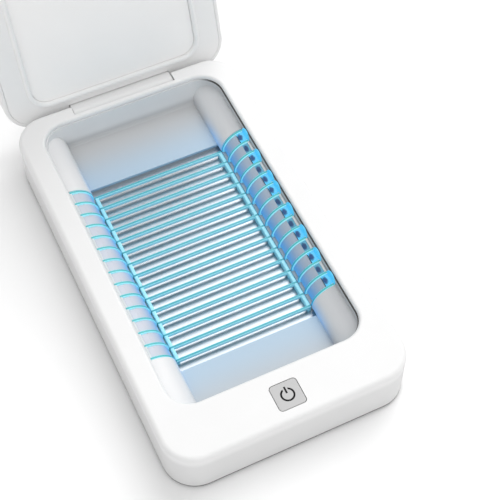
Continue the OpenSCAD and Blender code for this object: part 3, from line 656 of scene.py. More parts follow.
@dataclass
class Studio:
    """Camera at the photograph's angle, pale floor and soft light."""

    eye: tuple[float, float, float] = (-0.1318, -0.3375, 0.5665)
    azimuth: float = -28.17
    elevation: float = 57.07
    roll: float = 2.38
    lens: float = 91.48
    shift: Point = (-0.0741, 0.0261)
    floor_size: float = 6.0
    sky: float = 0.53
    lights: tuple[tuple[str, tuple[float, float, float], float, float], ...] = (
        ("sky_light_right", (0.62, 0.5, 1.0), 50.0, 1.7),
        ("sky_light_front", (-0.25, -0.5, 0.95), 70.0, 0.6),
        ("sky_light_low", (-0.1, -1.0, 0.25), 60.0, 0.25),
    )

    def camera(self) -> None:
        """Makes the camera."""
        data = bpy.data.cameras.new("studio_camera")
        data.sensor_width = 36.0
        data.lens = self.lens
        data.shift_x, data.shift_y = self.shift
        data.clip_start, data.clip_end = 0.01, 20.0
        camera = bpy.data.objects.new("studio_camera", data)
        a, e, r = (math.radians(v) for v in (self.azimuth, self.elevation, self.roll))
        back = Vector((math.sin(a) * math.cos(e), -math.cos(a) * math.cos(e), math.sin(e)))
        right = (-back).cross(Vector((0, 0, 1))).normalized()
        up = right.cross(-back)
        across = right * math.cos(r) + up * math.sin(r)
        upward = up * math.cos(r) - right * math.sin(r)
        turn = Matrix((across, upward, back)).transposed().to_4x4()
        camera.matrix_world = Matrix.Translation(self.eye) @ turn
        bpy.context.scene.collection.objects.link(camera)
        bpy.context.scene.camera = camera

    def floor(self) -> None:
        """Makes the pale floor."""
        mesh = bpy.data.meshes.new("studio_floor")
        work = bmesh.new()
        bmesh.ops.create_grid(work, x_segments=1, y_segments=1, size=self.floor_size / 2)
        work.to_mesh(mesh)
        work.free()
        floor = bpy.data.objects.new("studio_floor", mesh)
        bpy.context.scene.collection.objects.link(floor)
        tree = FinishTree("floor_paper", (0.97, 0.97, 0.97), 0.9)
        tree.relief(tree.noise(0.002, 2.0, 0.5), 0.00002, 0.3)
        mesh.materials.append(tree.material)

    def lamp(self, name: str, place: Sequence[float], spread: float, power: float) -> None:
        """Adds an even soft light.

        Args:
            name: the light's name.
            place: direction it comes from.
            spread: width of its source, in degrees.
            power: strength in watts for a square metre.
        """
        data = bpy.data.lights.new(name, "SUN")
        data.angle = math.radians(spread)
        data.energy = power
        light = bpy.data.objects.new(name, data)
        light.rotation_euler = Vector(place).to_track_quat("Z", "Y").to_euler()
        bpy.context.scene.collection.objects.link(light)

    def light(self) -> None:
        """Makes the world and the soft boxes."""
        world = bpy.data.worlds.new("studio_world")
        world.use_nodes = True
        background = world.node_tree.nodes["Background"].inputs
        background[0].default_value, background[1].default_value = (1.0, 1.0, 1.0, 1.0), self.sky
        bpy.context.scene.world = world
        for light in self.lights:
            self.lamp(*light)
        bpy.context.scene.view_settings.view_transform = "Standard"


# ---------- shapes ----------


class Shape:
    """A mesh under construction, in millimetres until it becomes a piece."""

    def __init__(self) -> None:
        """Starts empty."""
        self.work = bmesh.new()

    def _move(self, verts: Iterable[bmesh.types.BMVert], matrix: Matrix) -> None:
        """Moves some vertices by a matrix."""
        bmesh.ops.transform(self.work, matrix=matrix, verts=list(verts))

    def drawn(
        self, edges: list[bmesh.types.BMEdge], move: Sequence[float]
    ) -> tuple[list[bmesh.types.BMVert], list[bmesh.types.BMEdge]]:
        """Draws edges out into a wall.

        Args:
            edges: edges of an open rim.
            move: where the wall ends, from the rim.

        Returns:
            The vertices and the edges of the wall's end.
        """
        made = bmesh.ops.extrude_edge_only(self.work, edges=edges)["geom"]
        verts = [g for g in made if isinstance(g, bmesh.types.BMVert)]
        bmesh.ops.translate(self.work, vec=move, verts=verts)
        return verts, [g for g in made if isinstance(g, bmesh.types.BMEdge) and g.is_boundary]

    def block(
        self, low: Sequence[float], high: Sequence[float], soft: float = 0.2, steps: int = 2
    ) -> "Shape":
        """Adds a block with softened edges.

        Args:
            low: lowest corner.
            high: highest corner.
            soft: width of the softened edges.
            steps: number of segments across them.

        Returns:
            The shape itself.
        """
        size = Vector(high) - Vector(low)
        verts = bmesh.ops.create_cube(self.work, size=1.0)["verts"]
        self._move(verts, Matrix.Translation((Vector(low) + Vector(high)) / 2) @ Matrix.Diagonal((*size, 1)))
        bmesh.ops.bevel(
            self.work, geom=list({e for v in verts for e in v.link_edges}), affect="EDGES",
            offset=min(soft, min(size) * 0.45), offset_type="OFFSET", segments=steps,
            profile=0.5, material=-1, clamp_overlap=True,
        )
        return self

    def slab(self, middle: Point, size: Point, low: float, high: float, soft: float = 0.2) -> "Shape":
        """Adds a block with softened edges about a middle.

        Args:
            middle: X and Y of its middle.
            size: its size along X and Y.
            low: height of its underside.
            high: height of its top.
            soft: width of the softened edges.

        Returns:
            The shape itself.
        """
        (x, y), (w, d) = middle, size
        return self.block((x - w / 2, y - d / 2, low), (x + w / 2, y + d / 2, high), soft)

    def turned(self, outline: Sequence[Point], steps: int = 32, place: Matrix | None = None) -> "Shape":
        """Adds a body turned about Z.

        Args:
            outline: radius and height of each point of half a section, from pole to pole.
            steps: number of steps round the axis.
            place: where it goes; the axis is Z and the middle is the origin if it is left out.

        Returns:
            The shape itself.
        """
        old = set(self.work.verts)
        line = [self.work.verts.new((max(r, 0.0), 0.0, z)) for r, z in outline]
        edges = [self.work.edges.new(pair) for pair in zip(line, line[1:])]
        bmesh.ops.spin(
            self.work, geom=line + edges, cent=(0, 0, 0), axis=(0, 0, 1), angle=math.tau,
            steps=steps, use_merge=True, use_duplicate=False,
        )
        new = [v for v in self.work.verts if v not in old]
        bmesh.ops.remove_doubles(self.work, verts=new, dist=MERGE)
        new = [v for v in self.work.verts if v not in old]
        bmesh.ops.recalc_face_normals(self.work, faces=list({f for v in new for f in v.link_faces}))
        if place is not None:
            self._move(new, place)
        return self

    def bent(
        self, size: Point, soft: float, centre: Sequence[float], radius: float,
        start: float, end: float, steps: int = 16, leg: float = 0.0,
    ) -> "Shape":
        """Adds a bar with a softened section, bent about an axis along Y.

        Args:
            size: length along Y and depth of its section.
            soft: rounding of the section's corners.
            centre: a point of the axis.
            radius: radius of the section's middle.
            start: angle from straight down where it starts, in degrees.
            end: angle where it ends, towards +X.
            steps: number of steps along it.
            leg: length that it goes on straight down from its start.

        Returns:
            The shape itself.
        """
        old = set(self.work.verts)
        verts = bmesh.ops.create_grid(self.work, x_segments=1, y_segments=1, size=0.5)["verts"]
        turn = Matrix(((0, 0, 1, 0), (size[0], 0, 0, 0), (0, size[1], 0, 0), (0, 0, 0, 1)))
        self._move(verts, Matrix.Translation((0, 0, -radius)) @ turn)
        bmesh.ops.bevel(
            self.work, geom=verts, offset=soft, offset_type="OFFSET", affect="VERTICES",
            segments=3, profile=0.5, material=-1,
        )
        new = [v for v in self.work.verts if v not in old]
        self._move(new, Matrix.Rotation(math.radians(-start), 4, "Y"))
        faces = list({f for v in new for f in v.link_faces})
        edges = list({e for v in new for e in v.link_edges})
        bmesh.ops.spin(
            self.work, geom=new + edges + faces, cent=(0, 0, 0), axis=(0, -1, 0),
            angle=math.radians(end - start), steps=steps, use_duplicate=False,
        )
        new = [v for v in self.work.verts if v not in old]
        self._move(new, Matrix.Translation(Vector(centre)))
        rims = list({e for v in new for e in v.link_edges if e.is_boundary})
        if leg:
            _, rims = self.drawn(rims, (0, 0, -leg))
        if rims:
            bmesh.ops.holes_fill(self.work, edges=rims, sides=0)
        return self

    def repeat(self, places: Iterable[Matrix]) -> "Shape":
        """Puts a copy of all that is here at each place, in its stead.

        Args:
            places: where the copies go.

        Returns:
            The shape itself.
        """
        source = self.work.verts[:] + self.work.edges[:] + self.work.faces[:]
        seeds = self.work.verts[:]
        for place in places:
            copied = bmesh.ops.duplicate(self.work, geom=source)["geom"]
            self._move((g for g in copied if isinstance(g, bmesh.types.BMVert)), place)
        bmesh.ops.delete(self.work, geom=seeds, context="VERTS")
        return self

    def join(self, other: "Shape") -> "Shape":
        """Takes in another shape, which is used up.

        Args:
            other: the other shape.

        Returns:
            The shape itself.
        """
        mesh = bpy.data.meshes.new("joined")
        other.work.to_mesh(mesh)
        other.work.free()
        self.work.from_mesh(mesh)
        bpy.data.meshes.remove(mesh)
        return self

    def place(self, matrix: Matrix) -> "Shape":
        """Moves all of it by a matrix."""
        self._move(self.work.verts, matrix)
        return self

    def piece(
        self, name: str, finish: Finish, slot: str, nodes: Sequence[str] = (), body: Body = Body.BASE
    ) -> None:
        """Makes the finished piece and lets it ride on its body.

        Args:
            name: the piece's name.
            finish: its finish.
            slot: the record's material slot; not used.
            nodes: CAD nodes that it stands for.
            body: body that carries it.
        """
        bmesh.ops.remove_doubles(self.work, verts=self.work.verts[:], dist=MERGE)
        bmesh.ops.dissolve_degenerate(self.work, dist=1e-5, edges=self.work.edges[:])
        bmesh.ops.recalc_face_normals(self.work, faces=self.work.faces[:])
        self._move(self.work.verts, Matrix.Scale(MM, 4))
        for face in self.work.faces:
            face.smooth = True
        for edge in self.work.edges:
            if len(edge.link_faces) == 2 and edge.calc_face_angle(0.0) > SHARP:
                edge.smooth = False
        mesh = bpy.data.meshes.new(name)
        self.work.to_mesh(mesh)
        self.work.free()
        mesh.materials.append(finish.material())
        made = bpy.data.objects.new(name, mesh)
        bpy.context.scene.collection.objects.link(made)
        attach(made, body.value)
        if nodes:
            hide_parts(*nodes)
        LOG.info("%s: %d faces on %s", name, len(mesh.polygons), body.value)


def at(x: float, y: float, z: float) -> Matrix:
    """Returns a move, in millimetres."""
    return Matrix.Translation((x, y, z))


def along_y(x: float, y: float, z: float, sign: int = 1) -> Matrix:
    """Returns a place whose Z runs along +Y, or along -Y with sign -1."""
    return at(x, y, z) @ Matrix.Rotation(-sign * math.pi / 2, 4, "X")


FLIP = Matrix.Rotation(math.pi, 4, "X")
MIRROR = Matrix.Scale(-1, 4, (1, 0, 0))
SIDES = (-1, 1)
CORNERS = [(x, y) for x in SIDES for y in SIDES]
LEGS = (-1.905, -0.635, 0.635, 1.905)  # a chip's legs, from its middle


# ---------- fasteners ----------


@dataclass
class Screw:
    """Pan head screw with a cross recess and a rolled thread; its head is down and its tip up."""

    head_r: float = 1.9
    head_h: float = 1.1
    shank_r: float = 0.95
    length: float = 4.8
    pitch: float = 0.8
    recess: float = 0.56

    def shape(self) -> Shape:
        """Builds the screw.

        Returns:
            The screw, its head on the origin.
        """
        core = self.shank_r * 0.78
        top = self.head_h + self.length
        mouth = self.head_r * self.recess
        screw = Shape().turned(
            [
                (mouth, 0.0), (self.head_r * 0.82, 0.03), (self.head_r * 0.95, self.head_h * 0.22),
                (self.head_r, self.head_h * 0.55), (self.head_r * 0.98, self.head_h),
                (self.shank_r, self.head_h), (core, self.head_h + 0.3), (core, top - self.shank_r),
                (0.0, top),
            ],
            steps=24,
        )
        self._cross(screw, mouth)
        self._thread(screw, core)
        return screw

    def _cross(self, screw: Shape, mouth: float) -> None:
        """Sinks the cross recess.

        Args:
            screw: the screw without it.
            mouth: radius of the opening that it closes.
        """
        work = screw.work
        rim = [e for e in work.edges if e.is_boundary]
        long, short = mouth * 0.86, mouth * 0.26
        arms = bmesh.ops.create_circle(work, segments=12, radius=mouth)["verts"]
        bmesh.ops.rotate(work, verts=arms, cent=(0, 0, 0), matrix=Matrix.Rotation(math.radians(15), 3, "Z"))
        for vert in arms:
            far_x, far_y = (abs(c) > mouth * 0.8 for c in vert.co.xy)
            vert.co.x = math.copysign(long if far_x else short, vert.co.x)
            vert.co.y = math.copysign(long if far_y else short, vert.co.y)
        inner = list({e for v in arms for e in v.link_edges})
        bmesh.ops.bridge_loops(work, edges=rim + inner)
        deep, floor = screw.drawn(inner, (0, 0, self.head_h * 0.62))
        bmesh.ops.scale(work, vec=(0.62, 0.62, 1.0), verts=deep)
        bmesh.ops.contextual_create(work, geom=floor)

    def _thread(self, screw: Shape, core: float) -> None:
        """Winds the thread's ridge.

        Args:
            screw: the screw without it.
            core: radius of the shank under the thread.
        """
        work = screw.work
        turns = max(2, int((self.length - self.shank_r - 0.4) / self.pitch))
        steps = 14
        section = ((core - 0.02, 0.0), (self.shank_r, self.pitch * 0.42), (core - 0.02, self.pitch * 0.84))
        ridge = [work.verts.new((r, 0.0, self.head_h + 0.3 + z)) for r, z in section]
        edges = [work.edges.new(pair) for pair in zip(ridge, ridge[1:])]
        bmesh.ops.spin(
            work, geom=ridge + edges, cent=(0, 0, 0), axis=(0, 0, 1), angle=math.tau * turns,
            dvec=(0, 0, self.pitch / steps), steps=steps * turns, use_duplicate=False,
        )


@dataclass
class ScrewRow:
    """One node's screws, in pairs either side of the middle."""

    node: str
    spots: tuple[Point, ...]
    height: float
    screw: Screw
    head_up: bool = False
    body: Body = Body.BASE

    def build(self, opened: Matrix) -> None:
        """Makes the screws.

        Args:
            opened: the lid's turn to its open stop.
        """
        first = opened if self.body is Body.LID else Matrix()
        last = FLIP if self.head_up else Matrix()
        places = [
            first @ at(side_x, y, self.height) @ last for x, y in self.spots for side_x in sorted({-x, x})
        ]
        shape = self.screw.shape().repeat(places)
        shape.piece(f"{self.node}_cross", Finishes.steel, "steel_screw", [self.node], self.body)


SCREW_ROWS = (
    ScrewRow(
        "base_screws", ((53.5, 101.5), (58.4, 5.4), (50.0, -100.0)), 1.1, Screw(2.6, 1.5, 1.25, 10.0, 1.1)
    ),
    ScrewRow("tub_screws", ((58.0, -68.9), (58.0, 83.7)), 21.3, Screw()),
    ScrewRow("driver_screws", ((38.0, -100.3), (38.0, -63.3)), 9.1, Screw(length=4.4), True),
    ScrewRow("control_screws", ((21.0, -97.55),), 20.3, Screw()),
    ScrewRow("inlet_screws", ((7.5, 94.4),), 8.3, Screw(length=3.6), True),
    ScrewRow("hinge_screws", ((20.0, 106.6), (0.0, 106.6)), 39.7, Screw(length=6.0), True, Body.LID),
    ScrewRow(
        "lid_screws", ((38.4, -69.7), (38.4, 9.4), (38.4, 88.5)), 32.29, Screw(length=5.0), False, Body.LID
    ),
)


# ---------- base ----------


@dataclass
class Feet:
    """Four rubber feet with a dished middle and a ridge that grips the table."""

    radius: float = 6.0
    height: float = 2.0
    across: float = 46.0
    ahead: float = 86.0

    def build(self) -> None:
        """Makes the feet."""
        r, h = self.radius, self.height
        outline = [
            (0.0, 0.45), (r * 0.42, 0.45), (r * 0.5, 0.38), (r * 0.56, 0.06), (r * 0.62, 0.0),
            (r * 0.86, 0.0), (r * 0.95, 0.12), (r, 0.42), (r, h), (0.0, h),
        ]
        places = [at(sx * self.across, sy * self.ahead, 0) for sx, sy in CORNERS]
        feet = Shape().turned(outline, 48).repeat(places)
        feet.piece("feet_dished", Finishes.foot, "foot_rubber", ["rubber_feet"])


@dataclass
class Hinge:
    """Hinge pin with chamfered ends, and the catch magnets."""

    pin_r: float = 1.5
    pin_l: float = 73.0
    axis: Point = (107.6, 25.3)
    magnet: Point = (3.0, 2.0)
    magnet_at: Point = (34.0, -97.55)
    base_z: float = 25.8
    lid_z: float = 32.2
    open_angle: float = 105.0

    def opened(self) -> Matrix:
        """Returns the lid's turn from its closed place to the open stop."""
        axis = at(0, *self.axis)
        return axis @ Matrix.Rotation(math.radians(-self.open_angle), 4, "X") @ axis.inverted()

    def build(self) -> None:
        """Makes the pin and the magnets."""
        r, half = self.pin_r, self.pin_l / 2
        outline = [
            (0, -half), (r - 0.4, -half), (r, -half + 0.4), (r, half - 0.4), (r - 0.4, half), (0, half)
        ]
        pin = at(0, *self.axis) @ Matrix.Rotation(math.pi / 2, 4, "Y")
        Shape().turned(outline, 32, pin).piece("pin_turned", Finishes.pin, "pin_steel", ["hinge_pin"])
        (x, y), (r, h) = self.magnet_at, self.magnet
        outline = [(0, 0), (r - 0.25, 0), (r, 0.2), (r, h - 0.2), (r - 0.25, h), (0, h)]
        for body, turn, z in ((Body.BASE, Matrix(), self.base_z), (Body.LID, self.opened(), self.lid_z)):
            node = f"{body.value}_magnets"
            pair = Shape().turned(outline, 40).repeat(turn @ at(s * x, y, z) for s in SIDES)
            pair.piece(f"{node}_plated", Finishes.magnet, "magnet_nickel", [node], body)


# ---------- chamber ----------


@dataclass
class RibRow:
    """Measures that the guards, the rolls beside them and their windows share."""

    count: int = 15
    pitch: float = 7.8
    rib_w: float = 1.6
    outer: float = 12.4
    centre: Point = (50.0, 12.0)
    row_y: float = 5.4


@dataclass
class Guards(RibRow):
    """Curved side guards over the lamps and the floor bars between them."""

    rib_d: float = 2.4
    floor_z: float = 12.4
    foot_z: float = 8.1
    rail_w: float = 2.0
    rail_end: float = 0.5
    step: float = 0.2
    half: float = 37.3
    shade_t: float = 1.0
    shade_step: float = 0.8
    shade_ends: Point = (-101.0, -158.5)

    def build(self) -> None:
        """Makes both guards and the floor grid."""
        for node, turn in (("guard_right", Matrix()), ("guard_left", MIRROR)):
            ribs, shade, rails = (part().place(turn) for part in (self._ribs, self._shade, self._rails))
            ribs.piece(f"{node}_ribs", Finishes.guard, "cradle_plastic", [node])
            shade.piece(f"{node}_shade", Finishes.shade, "cradle_plastic")
            rails.piece(f"{node}_rails", Finishes.rail, "cradle_plastic")
        self._floor().piece("floor_bars", Finishes.bars, "cradle_plastic", ["floor_grid"])

    def _row(self) -> Point:
        """Returns the row's two ends along Y."""
        half = ((self.count - 1) * self.pitch + self.rib_w) / 2
        return self.row_y - half, self.row_y + half

    def _places(self) -> list[Matrix]:
        """Returns the place of each rib."""
        first = self.row_y - (self.count - 1) * self.pitch / 2
        return [at(0, first + i * self.pitch, 0) for i in range(self.count)]

    def _ribs(self) -> Shape:
        """Builds the right guard's ribs: each a leg, then a quarter of a ring.

        Returns:
            The ribs.
        """
        x, z = self.centre
        size, radius = (self.rib_w, self.rib_d), self.outer - self.rib_d / 2
        rib = Shape().bent(size, 0.7, (x, 0, z), radius, -90.0, -180.0, 20, z - self.foot_z)
        return rib.repeat(self._places())

    def _shade(self) -> Shape:
        """Builds the right guard's curved shade, just under the ribs' crests.

        Returns:
            The shade.
        """
        x, z = self.centre
        y0, y1 = self._row()
        radius = self.outer - self.shade_step - self.shade_t / 2
        size = (y1 - y0 - 0.4, self.shade_t)
        return Shape().bent(size, 0.3, (x, self.row_y, z), radius, *self.shade_ends, 16)

    def _rails(self) -> Shape:
        """Builds the right guard's top rail and foot rail.

        Returns:
            The rails.
        """
        x, z = self.centre
        foot_x, top = x - self.outer, z + self.outer
        y0, y1 = self._row()
        low = (foot_x + self.step, y0, self.foot_z)
        rail = Shape().block(low, (low[0] + self.rail_w, y1, self.floor_z - self.rib_d / 2), 0.35)
        low = (x - self.rail_w / 2, y0, top - self.rib_d + self.step)
        return rail.block(low, (x + self.rail_end, y1, top - self.step), 0.4, 3)

    def _floor(self) -> Shape:
        """Builds the floor grid: its bars and two rails.

        Returns:
            The grid.
        """
        w = self.rib_w / 2
        low = (-self.half, -w, self.floor_z - self.rib_d)
        bars = Shape().block(low, (self.half, w, self.floor_z), 0.55, 3).repeat(self._places())
        y0, y1 = self._row()
        for x in (-self.half, self.half - self.rail_w):
            bars.block((x, y0, self.foot_z), (x + self.rail_w, y1, self.floor_z - 0.05), 0.45, 3)
        return bars


@dataclass
class TubRolls(RibRow):
    """Rounded rolls that carry the guards' curve on to the tub's end walls."""

    foot_z: float = 11.45
    half: Point = (50.65, 91.35)
    corner: float = 12.4
    middle_y: float = 9.4
    spans: tuple[Point, ...] = ((-81.9, -50.15), (60.95, 100.7))
    thickness: float = 0.8
    grid: tuple[int, int] = (24, 18)

    def build(self) -> None:
        """Makes the four rolls."""
        rolls = Shape()
        for side in SIDES:
            for low, high in self.spans:
                rolls.join(self._roll(low, high, side))
        rolls.piece("tub_side_rolls", Finishes.roll, "tub_grey")

    def _roll(self, low: float, high: float, side: int) -> Shape:
        """Builds one roll, fitted to the tub's round corner.

        Args:
            low: where it starts along Y.
            high: where it ends.
            side: 1 for the right, -1 for the left.

        Returns:
            The roll.
        """
        shape, (along, around) = Shape(), self.grid
        work = shape.work
        grid = bmesh.ops.create_grid(work, x_segments=along, y_segments=around, size=0.5)
        for vert in grid["verts"]:
            step = round((vert.co.y + 0.5) * around)
            turn = math.pi / 2 * min(max(step - 1, 0), around - 2) / (around - 2)
            x = self.half[0] if step == around else self.centre[0] - self.outer * math.cos(turn)
            z = self.foot_z if step == 0 else self.centre[1] + self.outer * math.sin(turn)
            vert.co = (*self._inside(x, low + (vert.co.x + 0.5) * (high - low)), z)
            vert.co.x *= side
        bmesh.ops.recalc_face_normals(work, faces=work.faces[:])
        if sum(face.normal.z for face in work.faces) < 0:
            bmesh.ops.reverse_faces(work, faces=work.faces[:])
        bmesh.ops.solidify(work, geom=work.faces[:], thickness=self.thickness)
        return shape

    def _inside(self, x: float, y: float) -> Point:
        """Pulls a point in to the tub's round corner.

        Args:
            x: place across.
            y: place along.

        Returns:
            The nearest place inside the tub.
        """
        sign = 1.0 if y > self.middle_y else -1.0
        over_x = x - (self.half[0] - self.corner)
        over_y = abs(y - self.middle_y) - (self.half[1] - self.corner)
        far = math.hypot(over_x, over_y)
        if over_x <= 0 or over_y <= 0 or far <= self.corner:
            return x, y
        share = self.corner / far
        x = self.half[0] - self.corner + over_x * share
        return x, self.middle_y + sign * (self.half[1] - self.corner + over_y * share)


@dataclass
class LampWindows(RibRow):
    """Windows at the top of the guards: a lens in each gap, and arches with a painted glow on the right wall.
    """

    lit: tuple[int, ...] = (0, 2, 4, 5, 7, 9, 11, 13)
    lens_t: float = 0.9
    blank: tuple[float, float, float] = (11.1, -158.6, -174.6)
    lens: tuple[float, float, float] = (11.9, -160.5, -175.2)
    rail: tuple[float, float, float] = (49.0, 50.34, 24.2)
    cap_t: float = 0.16
    arch_z: float = 23.6
    wall_x: float = 50.288
    draft: float = 0.0977
    bar: Point = (0.7, 1.3)

    def build(self) -> None:
        """Makes lenses and arches; the left side's lenses are frosted like the shade."""
        every = tuple(range(self.count - 1))
        dark = tuple(gap for gap in every if gap not in self.lit)
        left = self._lenses(every, self.blank).place(MIRROR)
        left.piece("window_lenses_left", Finishes.shade, "cradle_plastic")
        self._lit().piece("window_lenses_right", Finishes.lens, "cradle_plastic")
        # the gaps without an arch get lenses with a dim painted glow
        unlit = self._lenses(dark, self.blank)
        unlit.piece("window_blanks_right", Finishes.blank, "cradle_plastic")
        self._arches().piece("window_arches_right", Finishes.arch, "cradle_plastic")

    def _middles(self, gaps: Sequence[int]) -> list[Matrix]:
        """Returns the place of each window's middle; gaps count from the rear."""
        last = self.row_y + (self.count - 1) * self.pitch / 2
        return [at(0, last - (gap + 0.5) * self.pitch, 0) for gap in gaps]

    def _lenses(self, gaps: Sequence[int], arc: tuple[float, float, float]) -> Shape:
        """Builds curved lenses in the right guard's upper openings.

        Args:
            gaps: gaps between ribs that get one.
            arc: radius of a lens, then its two end angles.

        Returns:
            The lenses.
        """
        x, z = self.centre
        size = (self.pitch - self.rib_w - 0.1, self.lens_t)
        return Shape().bent(size, 0.2, (x, 0, z), *arc, 8).repeat(self._middles(gaps))

    def _lit(self) -> Shape:
        """Builds the lit lenses and their caps over the top rail.

        Returns:
            The lit lenses.
        """
        half = (self.pitch - self.rib_w - 0.1) / 2
        x0, x1, z = self.rail
        cap = Shape().block((x0, -half, z), (x1, half, z + self.cap_t), 0.06)
        return self._lenses(self.lit, self.lens).join(cap.repeat(self._middles(self.lit)))

    def _arches(self) -> Shape:
        """Builds the arches on the right wall, each round a domed plate.

        Returns:
            The arches.
        """
        lean = at(self.wall_x, 0, self.arch_z) @ Matrix.Rotation(self.draft, 4, "Y")
        arch = Shape().bent(self.bar, 0.2, (0, 0, 0), self.pitch / 2 - 0.25, -88.0, -272.0, 20)
        arch.place(lean @ at(-0.25, 0, 0) @ Matrix.Rotation(math.pi / 2, 4, "Z"))
        r = self.pitch / 2 - 0.8
        outline = [(0.0, 0.02), (r, 0.02), (r, 0.16), (r * 0.7, 0.28), (0.0, 0.32)]
        arch.turned(outline, 32, lean @ Matrix.Rotation(-math.pi / 2, 4, "Y"))
        return arch.repeat(self._middles(self.lit))


@dataclass
class Lamps:
    """Two lamp tubes with their crimped caps and ribbed holders."""

    radius: float = 2.9
    length: float = 119.0
    across: float = 47.3
    height: float = 11.0
    row_y: float = 5.4
    cap_t: float = 0.25
    cap_l: float = 7.0
    trough_z: float = 6.0
    holder_l: float = 4.0
    holder_y: float = 57.7

    def build(self) -> None:
        """Makes tubes, caps and holders."""
        r, half = self.radius, self.length / 2
        end = ((0.0, 0.0), (r * 0.35, 0.05), (r * 0.7, 0.7), (r * 0.92, 1.7), (r, r))
        outline = [(x, z - half) for x, z in end] + [(x, half - z) for x, z in reversed(end)]
        for side, node in ((1, "lamp_right"), (-1, "lamp_left")):
            tube = Shape().turned(outline, 32, along_y(side * self.across, self.row_y, self.height))
            tube.piece(f"{node}_tube", Finishes.lamp, "lamp_quartz", [node])
        self._caps().piece("lamp_caps_crimped", Finishes.cap, "lamp_cap_metal", ["lamp_caps"])
        self._holders().piece("holders_ribbed", Finishes.holder, "holder_silicone", ["lamp_holders"])

    def _caps(self) -> Shape:
        """Builds the caps, each from its mouth over a crimp to its end.

        Returns:
            The four caps.
        """
        inner, outer, l = self.radius + 0.02, self.radius + self.cap_t, self.cap_l
        outline = [
            (0.0, l - 0.12), (inner * 0.7, l - 0.7), (inner, l - 2.4), (inner, 0.0), (outer - 0.06, 0.0),
            (outer, 0.15), (outer, 1.1), (outer - 0.14, 1.35), (outer - 0.14, 1.75), (outer, 2.0),
            (outer, l - 0.5), (outer - 0.4, l), (0.9, l), (0.0, l),
        ]
        start = self.length / 2 + 0.2 - l
        places = [along_y(sx * self.across, self.row_y + sy * start, self.height, sy) for sx, sy in CORNERS]
        return Shape().turned(outline, 32).repeat(places)

    def _holders(self) -> Shape:
        """Builds the holders: a collar on a foot, with two grip ribs round it.

        Returns:
            The four holders.
        """
        bore = self.radius + self.cap_t + 0.02
        outer, end = bore + 0.83, self.holder_l / 2
        rim = [
            (bore, end), (outer - 0.2, end), (outer, end - 0.2), (outer, 0.9), (outer - 0.18, 0.7),
            (outer - 0.18, 0.4), (outer, 0.2),
        ]
        outline = [(x, -z) for x, z in rim] + rim[::-1] + [(bore, -end)]
        collar = Shape().turned(outline, 40)
        drop = self.height - self.trough_z
        for side in SIDES:
            low, high = sorted((side * outer * 0.98, side * bore * 0.55))
            collar.block((low, 0, -end), (high, drop, end), 0.25)
        collar.block((-outer * 0.98, bore + 0.25, -end), (outer * 0.98, drop, end), 0.25)
        x, y = self.across, self.holder_y
        return collar.repeat(along_y(sx * x, self.row_y + sy * y, self.height) for sx, sy in CORNERS)


# ---------- electronics ----------


